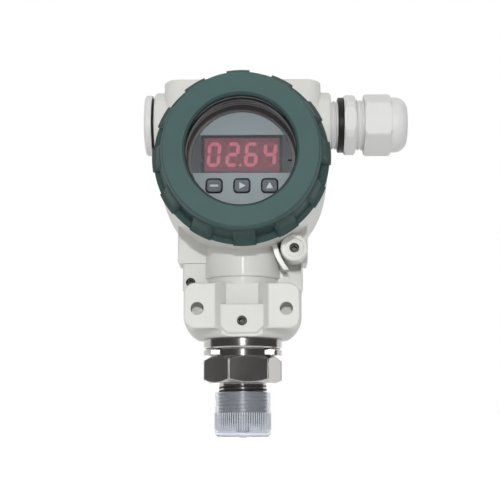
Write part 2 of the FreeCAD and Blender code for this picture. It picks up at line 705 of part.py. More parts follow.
def rear_cover_seal():
    return cover_seal(FLANGE_BACK_AT, BARREL_BACK)


def window_glass():
    edge = 0.4
    pane = turned((0, GLASS_BACK), (GLASS_R - edge, GLASS_BACK), (GLASS_R, GLASS_BACK + edge),
                  (GLASS_R, GLASS_FRONT - edge), (GLASS_R - edge, GLASS_FRONT), (0, GLASS_FRONT))
    return facing_front(pane)


def window_gasket():
    return facing_front(ring(GLASS_R, GASKET_R, GLASS_FRONT, LIP_BACK))


def glass_retaining_ring():
    """Threaded ring behind the glass, with two notches for the key that turns it."""
    body = turned((GLASS_RING_R, GLASS_RING_BACK), (GLASS_R, GLASS_RING_BACK), (GLASS_R, GLASS_BACK),
                  (GLASS_RING_R + 0.8, GLASS_BACK), (GLASS_RING_R, GLASS_BACK - 0.8))
    notch = block(-GLASS_R - 1, GLASS_R + 1, -1.2, 1.2, GLASS_RING_BACK - 1, GLASS_RING_BACK + 1.5)
    return facing_front(body.cut(notch))


# Indicator module

def display_case():
    """Round case with a stepped bezel that slopes down to the front plate."""
    outer = turned((0, DISPLAY_BOARD_FRONT), (CASE_R, DISPLAY_BOARD_FRONT), (CASE_R, CASE_FRONT - 1.0),
                   (CASE_R - 1.0, CASE_FRONT), (0, CASE_FRONT))
    lip = PLATE_FRONT + CASE_LIP
    slope = turned((0, PLATE_FRONT), (CASE_OPENING_R, PLATE_FRONT), (CASE_OPENING_R, lip),
                   (CASE_OPENING_R + CASE_LEDGE, lip), (CASE_R - CASE_RIM, CASE_FRONT - CASE_STEP),
                   (CASE_R - CASE_RIM, CASE_FRONT), (0, CASE_FRONT))
    room = rod(PLATE_R + SET, DISPLAY_BOARD_FRONT - 1, PLATE_FRONT)
    return facing_front(outer.cut(slope).cut(room))


def key_places():
    return [(-KEY_PITCH, KEY_Z), (0.0, KEY_Z), (KEY_PITCH, KEY_Z)]


def display_plate():
    plate = rod(PLATE_R, PLATE_BACK, PLATE_FRONT)
    middle = (FILTER_BOTTOM + FILTER_TOP) / 2
    window = rounded_block(2 * (FILTER_HALF_WIDTH + SET), FILTER_TOP - FILTER_BOTTOM + 2 * SET, 0.8,
                           PLATE_BACK - 1, PLATE_FRONT + 1, 0, middle)
    plate = plate.cut(window)
    for x, y in key_places():
        hole = rounded_block(KEY_WIDTH + 2 * KEY_EASE, KEY_HEIGHT + 2 * KEY_EASE, KEY_CORNER + KEY_EASE,
                             PLATE_BACK - 1, PLATE_FRONT + 1, x, y)
        plate = plate.cut(hole)
    return facing_front(plate)


def display_filter():
    middle = (FILTER_BOTTOM + FILTER_TOP) / 2
    front = PLATE_FRONT
    return facing_front(rounded_block(2 * FILTER_HALF_WIDTH, FILTER_TOP - FILTER_BOTTOM, 0.8,
                                      front - FILTER_THICKNESS, front, 0, middle))


def led_digits():
    """Four-digit LED module that stands on the display board."""
    front = PLATE_FRONT - FILTER_THICKNESS - 0.2
    body = block(-MODULE_HALF_WIDTH, MODULE_HALF_WIDTH, MODULE_BOTTOM, MODULE_TOP, DISPLAY_BOARD_FRONT, front)
    return facing_front(body.makeChamfer(0.3, upright(body)))


def key(index):
    x, y = key_places()[index]
    cap = rounded_block(KEY_WIDTH, KEY_HEIGHT, KEY_CORNER, KEY_BACK, PLATE_FRONT + KEY_PROUD, x, y)
    rim = [e for e in cap.Edges if abs(e.CenterOfMass.z - PLATE_FRONT - KEY_PROUD) < 0.01]
    cap = cap.makeChamfer(0.25, rim)
    flange_front = PLATE_BACK - TOUCH
    flange = rounded_block(KEY_WIDTH + 2 * KEY_FLANGE, KEY_HEIGHT + 2 * KEY_FLANGE, KEY_CORNER,
                           flange_front - KEY_FLANGE_THICKNESS, flange_front, x, y)
    return facing_front(joined(cap, flange))


def button_switches():
    parts = []
    for x, y in key_places():
        top = DISPLAY_BOARD_FRONT + SWITCH_HEIGHT
        body = rounded_block(SWITCH_SIZE, SWITCH_SIZE, 0.5, DISPLAY_BOARD_FRONT, top, x, y)
        stem = rod(SWITCH_STEM_R, top - 0.5, SWITCH_STEM_FRONT, x, y)
        parts.append(facing_front(joined(body, stem)))
    return Part.makeCompound(parts)


def display_board():
    board = rod(DISPLAY_BOARD_R, DISPLAY_BOARD_BACK, DISPLAY_BOARD_FRONT)
    for x, y in SPACERS:
        board = board.cut(rod(STUD_R + SET, DISPLAY_BOARD_BACK - 1, DISPLAY_BOARD_FRONT + 1, x, y))
    return facing_front(board)


def board_spacers():
    """Pillars between the two boards, each with the stud that passes through the display board."""
    parts = []
    for x, y in SPACERS:
        pillar = rod(SPACER_R, MAIN_BOARD_FRONT, DISPLAY_BOARD_BACK, x, y)
        stud = rod(STUD_R, DISPLAY_BOARD_BACK - 0.5, DISPLAY_BOARD_FRONT + NUT_HEIGHT + 0.3, x, y)
        parts.append(facing_front(joined(pillar, stud)))
    return Part.makeCompound(parts)


def board_nuts():
    """Nuts that hold the display board on the studs of its pillars."""
    parts = []
    for x, y in SPACERS:
        nut = hexagon(NUT_FLATS, DISPLAY_BOARD_FRONT, DISPLAY_BOARD_FRONT + NUT_HEIGHT)
        nut = nut.cut(rod(STUD_R + SET, DISPLAY_BOARD_FRONT - 1, DISPLAY_BOARD_FRONT + NUT_HEIGHT + 1))
        nut.translate(Vector(x, y, 0))
        parts.append(facing_front(nut))
    return Part.makeCompound(parts)


def main_board():
    board = rod(MAIN_BOARD_R, MAIN_BOARD_BACK, MAIN_BOARD_FRONT)
    top = STEP_LOW - BARREL_Z - 1.0
    reach = MAIN_BOARD_R
    return facing_front(board.cut(block(-reach, reach, top, reach, MAIN_BOARD_BACK, MAIN_BOARD_FRONT)))


def main_board_standoffs():
    """Pillars from the main board back to the partition of the housing."""
    parts = [facing_front(rod(SPACER_R, BACK_WALL_AT, MAIN_BOARD_BACK, x, y)) for x, y in SPACERS]
    return Part.makeCompound(parts)


def lead_connector():
    front = -MAIN_BOARD_BACK
    half = CONNECTOR_HALF_WIDTH
    top = CONNECTOR_BOTTOM + CONNECTOR_HEIGHT
    body = block(-half, half, front, front + CONNECTOR_DEPTH, CONNECTOR_BOTTOM, top)
    return body.makeChamfer(0.4, upright(body))


def sensor_lead():
    return rod(LEAD_R, CAPSULE_FLOOR + CAPSULE_HEIGHT + HEADER_THICKNESS, CONNECTOR_BOTTOM)


# Terminals, facing the back

def terminal_centres():
    first = -(TERMINAL_COUNT - 1) / 2
    return [TERMINAL_PITCH * (first + k) for k in range(TERMINAL_COUNT)]


def terminal_block():
    """Moulded block with a cell for each terminal, open to the back and below."""
    back = BACK_ROOM_AT - TERMINAL_DEPTH
    body = block(-TERMINAL_HALF_WIDTH, TERMINAL_HALF_WIDTH, TERMINAL_BOTTOM, TERMINAL_TOP, back, BACK_ROOM_AT)
    body = body.makeFillet(1.0, upright(body))
    half = TERMINAL_CELL_WIDTH / 2
    cells = [block(x - half, x + half, TERMINAL_BOTTOM - 1, TERMINAL_TOP - TERMINAL_ROOF, back - 1,
                   back + TERMINAL_CELL_DEPTH) for x in terminal_centres()]
    for tool in cells + terminal_fixing_holes():
        body = body.cut(tool)
    return facing_front(body)


def terminal_fixing_holes():
    """Holes through the block's ends and into the partition behind it, facing along local Z."""
    middle = (TERMINAL_BOTTOM + TERMINAL_TOP) / 2
    end = BACK_ROOM_AT + TERMINAL_FIX_BITE + 0.3
    return [rod(TERMINAL_FIX_R + SET, BACK_ROOM_AT - TERMINAL_DEPTH - 1, end, side * TERMINAL_FIX_X, middle)
            for side in (-1, 1)]


def terminal_block_screws():
    middle = (TERMINAL_BOTTOM + TERMINAL_TOP) / 2
    seat = BACK_ROOM_AT - TERMINAL_DEPTH
    parts = []
    for side in (-1, 1):
        x = side * TERMINAL_FIX_X
        shank = rod(TERMINAL_FIX_R, seat - 0.5, BACK_ROOM_AT + TERMINAL_FIX_BITE, x, middle)
        head = rod(TERMINAL_FIX_HEAD_R, seat - TERMINAL_FIX_HEAD, seat, x, middle)
        slot = block(x - 3, x + 3, middle - 0.4, middle + 0.4, seat - TERMINAL_FIX_HEAD - 1,
                     seat - TERMINAL_FIX_HEAD + 0.8)
        parts.append(facing_front(joined(shank, head).cut(slot)))
    return Part.makeCompound(parts)


def terminal_clamps():
    """Square plates that hold the wire under each screw."""
    floor = BACK_ROOM_AT - TERMINAL_DEPTH + TERMINAL_CELL_DEPTH
    size = TERMINAL_CELL_WIDTH - 1.0
    y = (TERMINAL_BOTTOM + TERMINAL_TOP - TERMINAL_ROOF) / 2
    plates = [rounded_block(size, size, 0.5, floor - TERMINAL_CLAMP_THICKNESS, floor, x, y)
              for x in terminal_centres()]
    return Part.makeCompound([facing_front(plate) for plate in plates])


def terminal_screws():
    floor = BACK_ROOM_AT - TERMINAL_DEPTH + TERMINAL_CELL_DEPTH - TERMINAL_CLAMP_THICKNESS
    y = (TERMINAL_BOTTOM + TERMINAL_TOP - TERMINAL_ROOF) / 2
    top = floor - TERMINAL_SCREW_HEAD
    parts = []
    for x in terminal_centres():
        head = rod(TERMINAL_SCREW_R, top, floor, x, y)
        slot = block(x - 0.4, x + 0.4, y - 3, y + 3, top - 1, top + 0.9)
        parts.append(facing_front(head.cut(slot)))
    return Part.makeCompound(parts)


# Blanking plug and cable gland

def blanking_plug():
    head_at = ENTRY_FACE + PLUG_SEAL_WIDTH
    edge = 0.7
    shank_end = head_at - PLUG_SHANK
    body = turned((0, shank_end), (ENTRY_THREAD_R - 1, shank_end), (ENTRY_THREAD_R, shank_end + 1),
                  (ENTRY_THREAD_R, head_at), (PLUG_R - 0.2, head_at),
                  (PLUG_R, head_at + 0.3), (PLUG_R, head_at + PLUG_HEAD - edge),
                  (PLUG_R - edge, head_at + PLUG_HEAD),
                  crown(PLUG_R - edge, PLUG_DOME, head_at + PLUG_HEAD))
    return facing_plug(body)


def plug_seal():
    inner = ENTRY_THREAD_R + 2 * EASE
    low = ENTRY_FACE + TOUCH
    high = ENTRY_FACE + PLUG_SEAL_WIDTH - TOUCH
    bevel = 0.3
    body = turned((inner, low), (PLUG_SEAL_R - bevel, low), (PLUG_SEAL_R, low + bevel),
                  (PLUG_SEAL_R, high - bevel), (PLUG_SEAL_R - bevel, high), (inner, high))
    return facing_plug(body)


def hex_nut(low, high, corner_r, turn=0.0):
    """Hexagon between two levels, its corners turned down to corner_r and bevelled."""
    bevel = 0.8
    bar = hexagon(GLAND_FLATS, low, high, turn)
    blank = turned((0, low), (corner_r - bevel, low), (corner_r, low + bevel), (corner_r, high - bevel),
                   (corner_r - bevel, high), (0, high))
    return bar.common(blank)


def gland_body():
    shank_end = ENTRY_FACE - GLAND_SHANK
    shank = rod(ENTRY_THREAD_R, shank_end, GLAND_HEX_AT)
    flange = hex_nut(GLAND_HEX_AT, GLAND_NECK_AT, GLAND_CORNER_R)
    neck_part = rod(GLAND_NECK_R, GLAND_NECK_AT, GLAND_NUT_AT - TOUCH)
    claw_end = GLAND_NUT_AT + GLAND_CLAW_LENGTH
    claw = rod(GLAND_CLAW_R, GLAND_NUT_AT - 1, claw_end)
    body = joined(shank, flange, neck_part, claw)
    bore = rod(GLAND_BORE_R, shank_end - 1, claw_end)
    seat = rod(GLAND_SEAL_R + SET, claw_end - GLAND_SEAL_LENGTH - SET, claw_end + 1)
    return facing_gland(body.cut(bore).cut(seat))


def gland_washer():
    bevel = 0.4
    inner = ENTRY_THREAD_R + EASE
    return facing_gland(turned((inner, GLAND_FACE), (GLAND_WASHER_R - bevel, GLAND_FACE),
                               (GLAND_WASHER_R, GLAND_FACE + bevel), (GLAND_WASHER_R, GLAND_HEX_AT - bevel),
                               (GLAND_WASHER_R - bevel, GLAND_HEX_AT), (inner, GLAND_HEX_AT)))


def gland_seal():
    """Rubber insert that the dome nut squeezes round a cable."""
    start = GLAND_NUT_AT + GLAND_CLAW_LENGTH - GLAND_SEAL_LENGTH
    return facing_gland(ring(GLAND_SEAL_R, GLAND_SEAL_BORE_R, start, start + GLAND_SEAL_LENGTH))


def gland_nut():
    hexed = hex_nut(GLAND_NUT_AT, GLAND_DOME_AT, GLAND_NUT_CORNER_R)
    start = GLAND_DOME_AT - 1
    dome = turned((0, start), (GLAND_DOME_R, start), (GLAND_DOME_R, GLAND_DOME_AT + 2.0),
                  ((GLAND_DOME_R - 1.0, GLAND_END - 1.9), (GLAND_DOME_END_R, GLAND_END)), (0, GLAND_END))
    seal_end = GLAND_NUT_AT + GLAND_CLAW_LENGTH + TOUCH
    room = rod(GLAND_CLAW_R + EASE, GLAND_NUT_AT - 1, seal_end)
    mouth = turned((0, seal_end - 1), (GLAND_MOUTH_R, seal_end - 1), (GLAND_MOUTH_R, GLAND_END - 1.0),
                   (GLAND_MOUTH_R + 1.0, GLAND_END), (GLAND_MOUTH_R + 1.0, GLAND_END + 1), (0, GLAND_END + 1))
    return facing_gland(joined(hexed, dome).cut(room).cut(mouth))


# Process connection

def sensor_body():
    corner_r = HEX_FLATS / math.sqrt(3)
    flat_r = HEX_FLATS / 2
    bar = hexagon(HEX_FLATS, 0, HEX_HEIGHT, HEX_TURN)
    blank = turned((0, 0), (flat_r - 0.3, 0), (corner_r, HEX_CHAMFER), (corner_r, HEX_HEIGHT - HEX_CHAMFER),
                   (flat_r - 0.3, HEX_HEIGHT), (0, HEX_HEIGHT))
    hexed = bar.common(blank)
    thread_end = -THREAD_LENGTH
    thread = turned((0, NIPPLE_END), (NIPPLE_R - 0.4, NIPPLE_END), (NIPPLE_R, NIPPLE_END + 0.4),
                    (NIPPLE_R, thread_end), (THREAD_R - 1.0, thread_end), (THREAD_R, thread_end + 1.0),
                    (THREAD_R, 0.5), (0, 0.5))
    upper = turned((0, HEX_HEIGHT - 0.5), (WAIST_R, HEX_HEIGHT - 0.5), (WAIST_R, COLLAR_BOTTOM),
                   (COLLAR_R - COLLAR_CHAMFER, COLLAR_BOTTOM), (COLLAR_R, COLLAR_BOTTOM + COLLAR_CHAMFER),
                   (COLLAR_R, COLLAR_TOP), (SPIGOT_R, COLLAR_TOP), (SPIGOT_R, SPIGOT_TOP), (0, SPIGOT_TOP))
    ear_low = HEX_HEIGHT + EAR_GAP
    ears = rod(COLLAR_R, ear_low, ear_low + EAR_HEIGHT).common(
        block(-COLLAR_R, COLLAR_R, -EAR_HALF_WIDTH, EAR_HALF_WIDTH, ear_low, ear_low + EAR_HEIGHT))
    body = joined(thread, hexed, upper, ears)
    groove_z = COLLAR_TOP + 6.0
    groove = ring(SPIGOT_R + 1, SEAL_GROOVE_R, groove_z, groove_z + SEAL_GROOVE_WIDTH)
    bore = rod(PRESSURE_BORE_R, NIPPLE_END - 1, CAPSULE_FLOOR + 1)
    pocket = rod(CAPSULE_R + SET, CAPSULE_FLOOR, SPIGOT_TOP + 1)
    return body.cut(groove).cut(bore).cut(pocket)


def sensor_seal():
    groove_z = COLLAR_TOP + 6.0
    return ring(SPIGOT_R, SEAL_GROOVE_R, groove_z + SET, groove_z + SEAL_GROOVE_WIDTH - SET)


def sensor_capsule():
    top = CAPSULE_FLOOR + CAPSULE_HEIGHT
    return turned((0, CAPSULE_FLOOR), (CAPSULE_R, CAPSULE_FLOOR), (CAPSULE_R, CAPSULE_FLOOR + 3.0),
                  (CAPSULE_R - 1.5, CAPSULE_FLOOR + 3.0), (CAPSULE_R - 1.5, top), (0, top))


def sensor_header():
    low = CAPSULE_FLOOR + CAPSULE_HEIGHT
    return rod(CAPSULE_R - 1.0, low, low + HEADER_THICKNESS)


def socket_screw(radius, length, front, x, z, socket=1.0):
    """Grub screw with a hexagon socket, its end face at the level front."""
    body = rod(radius, front - length, front, x)
    rim = [e for e in body.Edges if e.Curve.TypeId == "Part::GeomCircle"]
    body = body.makeChamfer(0.25, rim)
    key_hole = hexagon(2 * socket, front - 1.8, front + 1)
    key_hole.translate(Vector(x, 0, 0))
    return facing_front(body.cut(key_hole), z)


def neck_set_screw():
    return socket_screw(SET_SCREW_R, SET_SCREW_LENGTH, BIB_FRONT - SET_SCREW_DEPTH, 0, SET_SCREW_Z)


def cover_lock_screw():
    return socket_screw(LOCK_R, LOCK_LENGTH, LOCK_BOSS_FRONT - LOCK_DEPTH, LOCK_X, LOCK_Z)


def ground_screw():
    return socket_screw(GROUND_R, GROUND_LENGTH, WEB_FRONT - GROUND_DEPTH, GROUND_X, GROUND_Z)


def thread_cap():
    """Push-on cap with fine grip ribs round its lower half and a gate mark underneath."""
    edge = 0.9
    shell = turned((0, CAP_BOTTOM), (CAP_R - edge, CAP_BOTTOM), (CAP_R, CAP_BOTTOM + edge), (CAP_R, CAP_TOP),
                   (0, CAP_TOP))
    shell = shell.cut(rod(CAP_R - CAP_WALL, CAP_INNER_FLOOR, CAP_TOP + 1))
    gate = rod(GATE_R, CAP_BOTTOM - GATE_HEIGHT, CAP_BOTTOM + 0.5)
    return joined(shell, gate)


PIECES = {
    "housing": housing,
    "front_cover": front_cover,
    "window_glass": window_glass,
    "window_gasket": window_gasket,
    "glass_retaining_ring": glass_retaining_ring,
    "front_cover_seal": front_cover_seal,
    "rear_cover": rear_cover,
    "rear_cover_seal": rear_cover_seal,
    "display_case": display_case,
    "display_plate": display_plate,
    "display_filter": display_filter,
    "led_digits": led_digits,
    "set_button": lambda: key(0),
    "shift_button": lambda: key(1),
    "up_button": lambda: key(2),
    "button_switches": button_switches,
    "display_board": display_board,
    "board_spacers": board_spacers,
    "board_nuts": board_nuts,
    "main_board": main_board,
    "main_board_standoffs": main_board_standoffs,
    "lead_connector": lead_connector,
    "sensor_lead": sensor_lead,
    "terminal_block": terminal_block,
    "terminal_clamps": terminal_clamps,
    "terminal_screws": terminal_screws,
    "terminal_block_screws": terminal_block_screws,
    "blanking_plug": blanking_plug,
    "plug_seal": plug_seal,
    "gland_body": gland_body,
    "gland_washer": gland_washer,
    "gland_seal": gland_seal,
    "gland_nut": gland_nut,
    "sensor_body": sensor_body,
    "sensor_seal": sensor_seal,
    "sensor_capsule": sensor_capsule,
    "sensor_header": sensor_header,
    "neck_set_screw": neck_set_screw,
    "cover_lock_screw": cover_lock_screw,
    "ground_screw": ground_screw,
    "thread_cap": thread_cap,
}


def main():
    os.makedirs("parts", exist_ok=True)
    for name, make in PIECES.items():
        shape = make()
        shape.exportStep(f"parts/{name}.step")
        print(f"{name}: {len(shape.Solids)} solid(s), {shape.Volume:.1f} mm3, valid {shape.isValid()}")


main()
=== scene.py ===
"""Pressure transmitter: finishes, threads, digits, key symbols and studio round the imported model.

Each operator finishes one group of pieces. Lengths are in metres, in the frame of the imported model: its
origin is at the shoulder of the process thread, the window faces -Y and the gland faces +X.
"""
import math

import bmesh
import bpy
from mathutils import Matrix, Vector


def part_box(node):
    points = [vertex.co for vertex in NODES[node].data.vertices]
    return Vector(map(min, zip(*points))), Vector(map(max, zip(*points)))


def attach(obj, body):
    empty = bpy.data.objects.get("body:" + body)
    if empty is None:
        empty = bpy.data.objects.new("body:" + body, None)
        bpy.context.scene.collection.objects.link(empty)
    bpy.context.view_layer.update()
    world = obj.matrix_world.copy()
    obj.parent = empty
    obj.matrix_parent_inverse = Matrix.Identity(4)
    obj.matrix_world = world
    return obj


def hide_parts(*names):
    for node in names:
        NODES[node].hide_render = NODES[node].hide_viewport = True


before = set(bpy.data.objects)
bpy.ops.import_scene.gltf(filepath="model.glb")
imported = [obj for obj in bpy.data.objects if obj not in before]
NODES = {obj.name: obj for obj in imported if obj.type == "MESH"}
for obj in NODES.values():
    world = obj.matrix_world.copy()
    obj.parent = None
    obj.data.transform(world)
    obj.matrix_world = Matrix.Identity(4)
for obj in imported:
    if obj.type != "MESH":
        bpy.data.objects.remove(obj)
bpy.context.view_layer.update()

bl_info = {
    "name": "Pressure transmitter",
    "version": (1, 0, 0),
    "blender": (4, 5, 0),
    "location": "3D View > Sidebar > Transmitter",
    "description": "Finishes, threads, digits and studio for a pressure transmitter",
    "category": "Object",
}

MM = 0.001
# The indicator, the covers and the window share one axis, which runs front to back.
BARREL_Z = sum(corner.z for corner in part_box("window_glass")) / 2
# The blanking plug and the gland share one axis, which runs left to right.
ENTRY_Z = sum(corner.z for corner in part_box("gland_nut")) / 2
FLOOR_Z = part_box("thread_cap")[0].z
# Radii of the bars that carry the ridges: process, gland and plug alike, then the gland's neck and the covers.
THREAD_R, GLAND_NECK_R, COVER_THREAD_R = 10 * MM, 10.4 * MM, 32 * MM
KEYS = ("set_button", "shift_button", "up_button")


# Sizes and colours

class FinishColours(bpy.types.PropertyGroup):
    """Colours of the visible finishes"""
    housing: bpy.props.FloatVectorProperty(
        name="Housing", description="Powder coat of the casting", subtype="COLOR", size=3,
        default=(0.69, 0.69, 0.66), min=0, max=1)
    cover: bpy.props.FloatVectorProperty(
        name="Covers", description="Teal enamel of both covers", subtype="COLOR", size=3,
        default=(0.066, 0.119, 0.114), min=0, max=1)
    nylon: bpy.props.FloatVectorProperty(
        name="Gland", description="White nylon of the gland and the plug", subtype="COLOR", size=3,
        default=(0.7, 0.7, 0.695), min=0, max=1)
    plate: bpy.props.FloatVectorProperty(
        name="Plate", description="Pale ground of the indicator's plate", subtype="COLOR", size=3,
        default=(0.385, 0.43, 0.465), min=0, max=1)
    band: bpy.props.FloatVectorProperty(
        name="Band", description="Dark band across the plate", subtype="COLOR", size=3,
        default=(0.122, 0.128, 0.14), min=0, max=1)
    lit: bpy.props.FloatVectorProperty(
        name="Lit segment", description="Glow of a lit segment", subtype="COLOR", size=3,
        default=(0.95, 0.24, 0.33), min=0, max=1)
    steel: bpy.props.FloatVectorProperty(
        name="Steel", description="Turned stainless steel", subtype="COLOR", size=3,
        default=(0.5, 0.49, 0.47), min=0, max=1)


class ThreadSizes(bpy.types.PropertyGroup):
    """Sizes of the thread ridges and the cap's ribs"""
    pitch: bpy.props.FloatProperty(
        name="Pitch", description="Rise of every thread in one turn", unit="LENGTH", default=1.5 * MM,
        min=0.2 * MM)
    process_ridge: bpy.props.FloatProperty(
        name="Process ridge", description="Height of the process thread's ridge", unit="LENGTH",
        default=0.3 * MM, min=0.02 * MM)
    gland_ridge: bpy.props.FloatProperty(
        name="Gland ridge", description="Height of the ridge of the gland's entry thread", unit="LENGTH",
        default=0.5 * MM, min=0.02 * MM)
    gland_neck_ridge: bpy.props.FloatProperty(
        name="Gland neck ridge", description="Height of the ridge under the gland's nut", unit="LENGTH",
        default=0.45 * MM, min=0.02 * MM)
    hidden_ridge: bpy.props.FloatProperty(
        name="Hidden ridge", description="Height of the ridges of the plug and the covers", unit="LENGTH",
        default=0.09 * MM, min=0.02 * MM)
    cap_ribs: bpy.props.IntProperty(
        name="Cap ribs", description="Grip ribs round the thread cap", default=72, min=3)


class DigitSizes(bpy.types.PropertyGroup):
    """Number and shape of the digits"""
    reading: bpy.props.StringProperty(
        name="Reading", description="Number on the indicator, with its point", default="02.64")
    height: bpy.props.FloatProperty(
        name="Height", description="Height of a digit", unit="LENGTH", default=10.4 * MM)
    width: bpy.props.FloatProperty(
        name="Width", description="Width of a digit", unit="LENGTH", default=5.6 * MM)
    pitch: bpy.props.FloatProperty(
        name="Pitch", description="From one digit to the next", unit="LENGTH", default=7.75 * MM)
    stroke: bpy.props.FloatProperty(
        name="Stroke", description="Width of a segment", unit="LENGTH", default=1.5 * MM)
    slant: bpy.props.FloatProperty(
        name="Slant", description="Lean of the digits", subtype="ANGLE", default=math.radians(5))


class StudioSettings(bpy.types.PropertyGroup):
    """Camera and lights"""
    camera_place: bpy.props.FloatVectorProperty(
        name="Camera", description="Place of the camera", subtype="TRANSLATION", size=3,
        default=(0.0105, -0.5212, -0.0217))
    yaw: bpy.props.FloatProperty(
        name="Yaw", description="Turn of the camera to its right", subtype="ANGLE", default=math.radians(-0.82))
    pitch: bpy.props.FloatProperty(
        name="Pitch", description="Tilt of the camera upwards", subtype="ANGLE", default=math.radians(6.3))
    lens: bpy.props.FloatProperty(
        name="Lens", description="Focal length in millimetres", default=88.13, min=1)
    rise: bpy.props.FloatProperty(
        name="Rise", description="Upward shift of the view, as a share of its width", default=0.1)
    key: bpy.props.FloatProperty(
        name="Key lamp", description="Power of the large lamp above the front", unit="POWER", default=0.95)
    flash: bpy.props.FloatProperty(
        name="Flash", description="Power of the small lamp over the camera", unit="POWER", default=1.0)
    sky: bpy.props.FloatProperty(
        name="Surroundings", description="Light from all round", default=0.58, min=0)


class TransmitterSettings(bpy.types.PropertyGroup):
    """All settings of the transmitter"""
    colours: bpy.props.PointerProperty(type=FinishColours)
    threads: bpy.props.PointerProperty(type=ThreadSizes)
    digits: bpy.props.PointerProperty(type=DigitSizes)
    studio: bpy.props.PointerProperty(type=StudioSettings)


# Shader building

def node(tree, kind, inputs=None, **settings):
    """Adds a shader node; an input is a value or the socket that feeds it."""
    made = tree.nodes.new("ShaderNode" + kind)
    for name, value in settings.items():
        setattr(made, name, value)
    for name, value in (inputs or {}).items():
        if isinstance(value, bpy.types.NodeSocket):
            tree.links.new(value, made.inputs[name])
        else:
            made.inputs[name].default_value = value
    return made


def math_node(tree, operation, first, second=0.0, clamp=False):
    return node(tree, "Math", {0: first, 1: second}, operation=operation, use_clamp=clamp).outputs[0]


def ramp(tree, value, low, high, out_low=0.0, out_high=1.0):
    """Straight change of a value from one range to another, held at both ends."""
    return node(tree, "MapRange", {"Value": value, "From Min": low, "From Max": high,
                                   "To Min": out_low, "To Max": out_high}).outputs[0]


def blend(tree, share, first, second):
    """Colour between two colours."""
    mixed = node(tree, "Mix", data_type="RGBA")
    for index, value in ((0, share), (6, first), (7, second)):
        if isinstance(value, bpy.types.NodeSocket):
            tree.links.new(value, mixed.inputs[index])
        else:
            mixed.inputs[index].default_value = value if index == 0 else rgba(value)
    return mixed.outputs[2]


def rgba(colour):
    return (*tuple(colour)[:3], 1.0)


def new_group(name, inputs, outputs):
    """Shader group with named number inputs and named outputs."""
    tree = bpy.data.node_groups.new(name, "ShaderNodeTree")
    for label, value in inputs.items():
        tree.interface.new_socket(label, in_out="INPUT", socket_type="NodeSocketFloat").default_value = value
    for label, kind in outputs.items():
        tree.interface.new_socket(label, in_out="OUTPUT", socket_type="NodeSocket" + kind)
    return tree, tree.nodes.new("NodeGroupInput").outputs, tree.nodes.new("NodeGroupOutput")


def fine_grain():
    """Height of a fine random grain, such as that of a powder coat."""
    name = "Fine grain"
    if name in bpy.data.node_groups:
        return bpy.data.node_groups[name]
    tree, given, result = new_group(name, {"Grains per metre": 2000.0, "Orange peel": 0.3}, {"Height": "Float"})
    place = node(tree, "TexCoord").outputs["Object"]
    small = node(tree, "TexNoise", {"Vector": place, "Scale": given["Grains per metre"], "Detail": 2.0,
                                    "Roughness": 0.6}).outputs["Fac"]
    wide_scale = math_node(tree, "MULTIPLY", given["Grains per metre"], 0.25)
    wide = node(tree, "TexNoise", {"Vector": place, "Scale": wide_scale, "Detail": 1.0}).outputs["Fac"]
    peel = math_node(tree, "MULTIPLY", wide, given["Orange peel"])
    tree.links.new(math_node(tree, "ADD", small, peel), result.inputs["Height"])
    return tree


def uneven_tone():
    """Mask of broad soft patches, such as handling leaves."""
    name = "Uneven tone"
    if name in bpy.data.node_groups:
        return bpy.data.node_groups[name]
    tree, given, result = new_group(name, {"Patches per metre": 40.0, "Softness": 0.25}, {"Mask": "Float"})
    place = node(tree, "TexCoord").outputs["Object"]
    cloud = node(tree, "TexNoise", {"Vector": place, "Scale": given["Patches per metre"], "Detail": 4.0,
                                    "Roughness": 0.55}).outputs["Fac"]
    low = math_node(tree, "SUBTRACT", 0.5, given["Softness"])
    high = math_node(tree, "ADD", 0.5, given["Softness"])
    tree.links.new(ramp(tree, cloud, low, high), result.inputs["Mask"])
    return tree


def soft_edges():
    """Rounded normal near an edge, and a mask of the edge for a painted highlight."""
    name = "Soft edges"
    if name in bpy.data.node_groups:
        return bpy.data.node_groups[name]
    tree, given, result = new_group(name, {"Radius": 0.3 * MM, "Sharpness": 6.0},
                                    {"Normal": "Vector", "Edge": "Float"})
    rounded = node(tree, "Bevel", {"Radius": given["Radius"]}, samples=6).outputs["Normal"]
    flat = node(tree, "NewGeometry").outputs["Normal"]
    likeness = node(tree, "VectorMath", {0: rounded, 1: flat}, operation="DOT_PRODUCT").outputs["Value"]
    turned = math_node(tree, "SUBTRACT", 1.0, likeness)
    edge = math_node(tree, "MULTIPLY", turned, given["Sharpness"], clamp=True)
    tree.links.new(rounded, result.inputs["Normal"])
    tree.links.new(edge, result.inputs["Edge"])
    return tree


def tool_lines():
    """Height of the fine lines that a lathe leaves round the upright axis."""
    name = "Tool lines"
    if name in bpy.data.node_groups:
        return bpy.data.node_groups[name]
    tree, given, result = new_group(name, {"Lines per metre": 9000.0}, {"Height": "Float"})
    place = node(tree, "TexCoord").outputs["Object"]
    parts = node(tree, "SeparateXYZ", {0: place})
    # The lines run round the axis, so the noise hardly changes across it.
    stretch = 0.02
    across = node(tree, "CombineXYZ", {"X": math_node(tree, "MULTIPLY", parts.outputs["X"], stretch),
                                       "Y": math_node(tree, "MULTIPLY", parts.outputs["Y"], stretch),
                                       "Z": parts.outputs["Z"]}).outputs[0]
    lines = node(tree, "TexNoise", {"Vector": across, "Scale": given["Lines per metre"],
                                    "Detail": 2.0}).outputs["Fac"]
    tree.links.new(lines, result.inputs["Height"])
    return tree


def use(tree, group, **inputs):
    """Places a shared group in a material; spaces in a socket's name are written as underscores."""
    placed = tree.nodes.new("ShaderNodeGroup")
    placed.node_tree = group
    for name, value in inputs.items():
        placed.inputs[name.replace("_", " ")].default_value = value
    return placed.outputs


def blank_material(name):
    """Empty material with its Principled surface; gives the material, its tree and the surface."""
    material = bpy.data.materials.new(name)
    material.use_nodes = True
    tree = material.node_tree
    return material, tree, tree.nodes["Principled BSDF"]


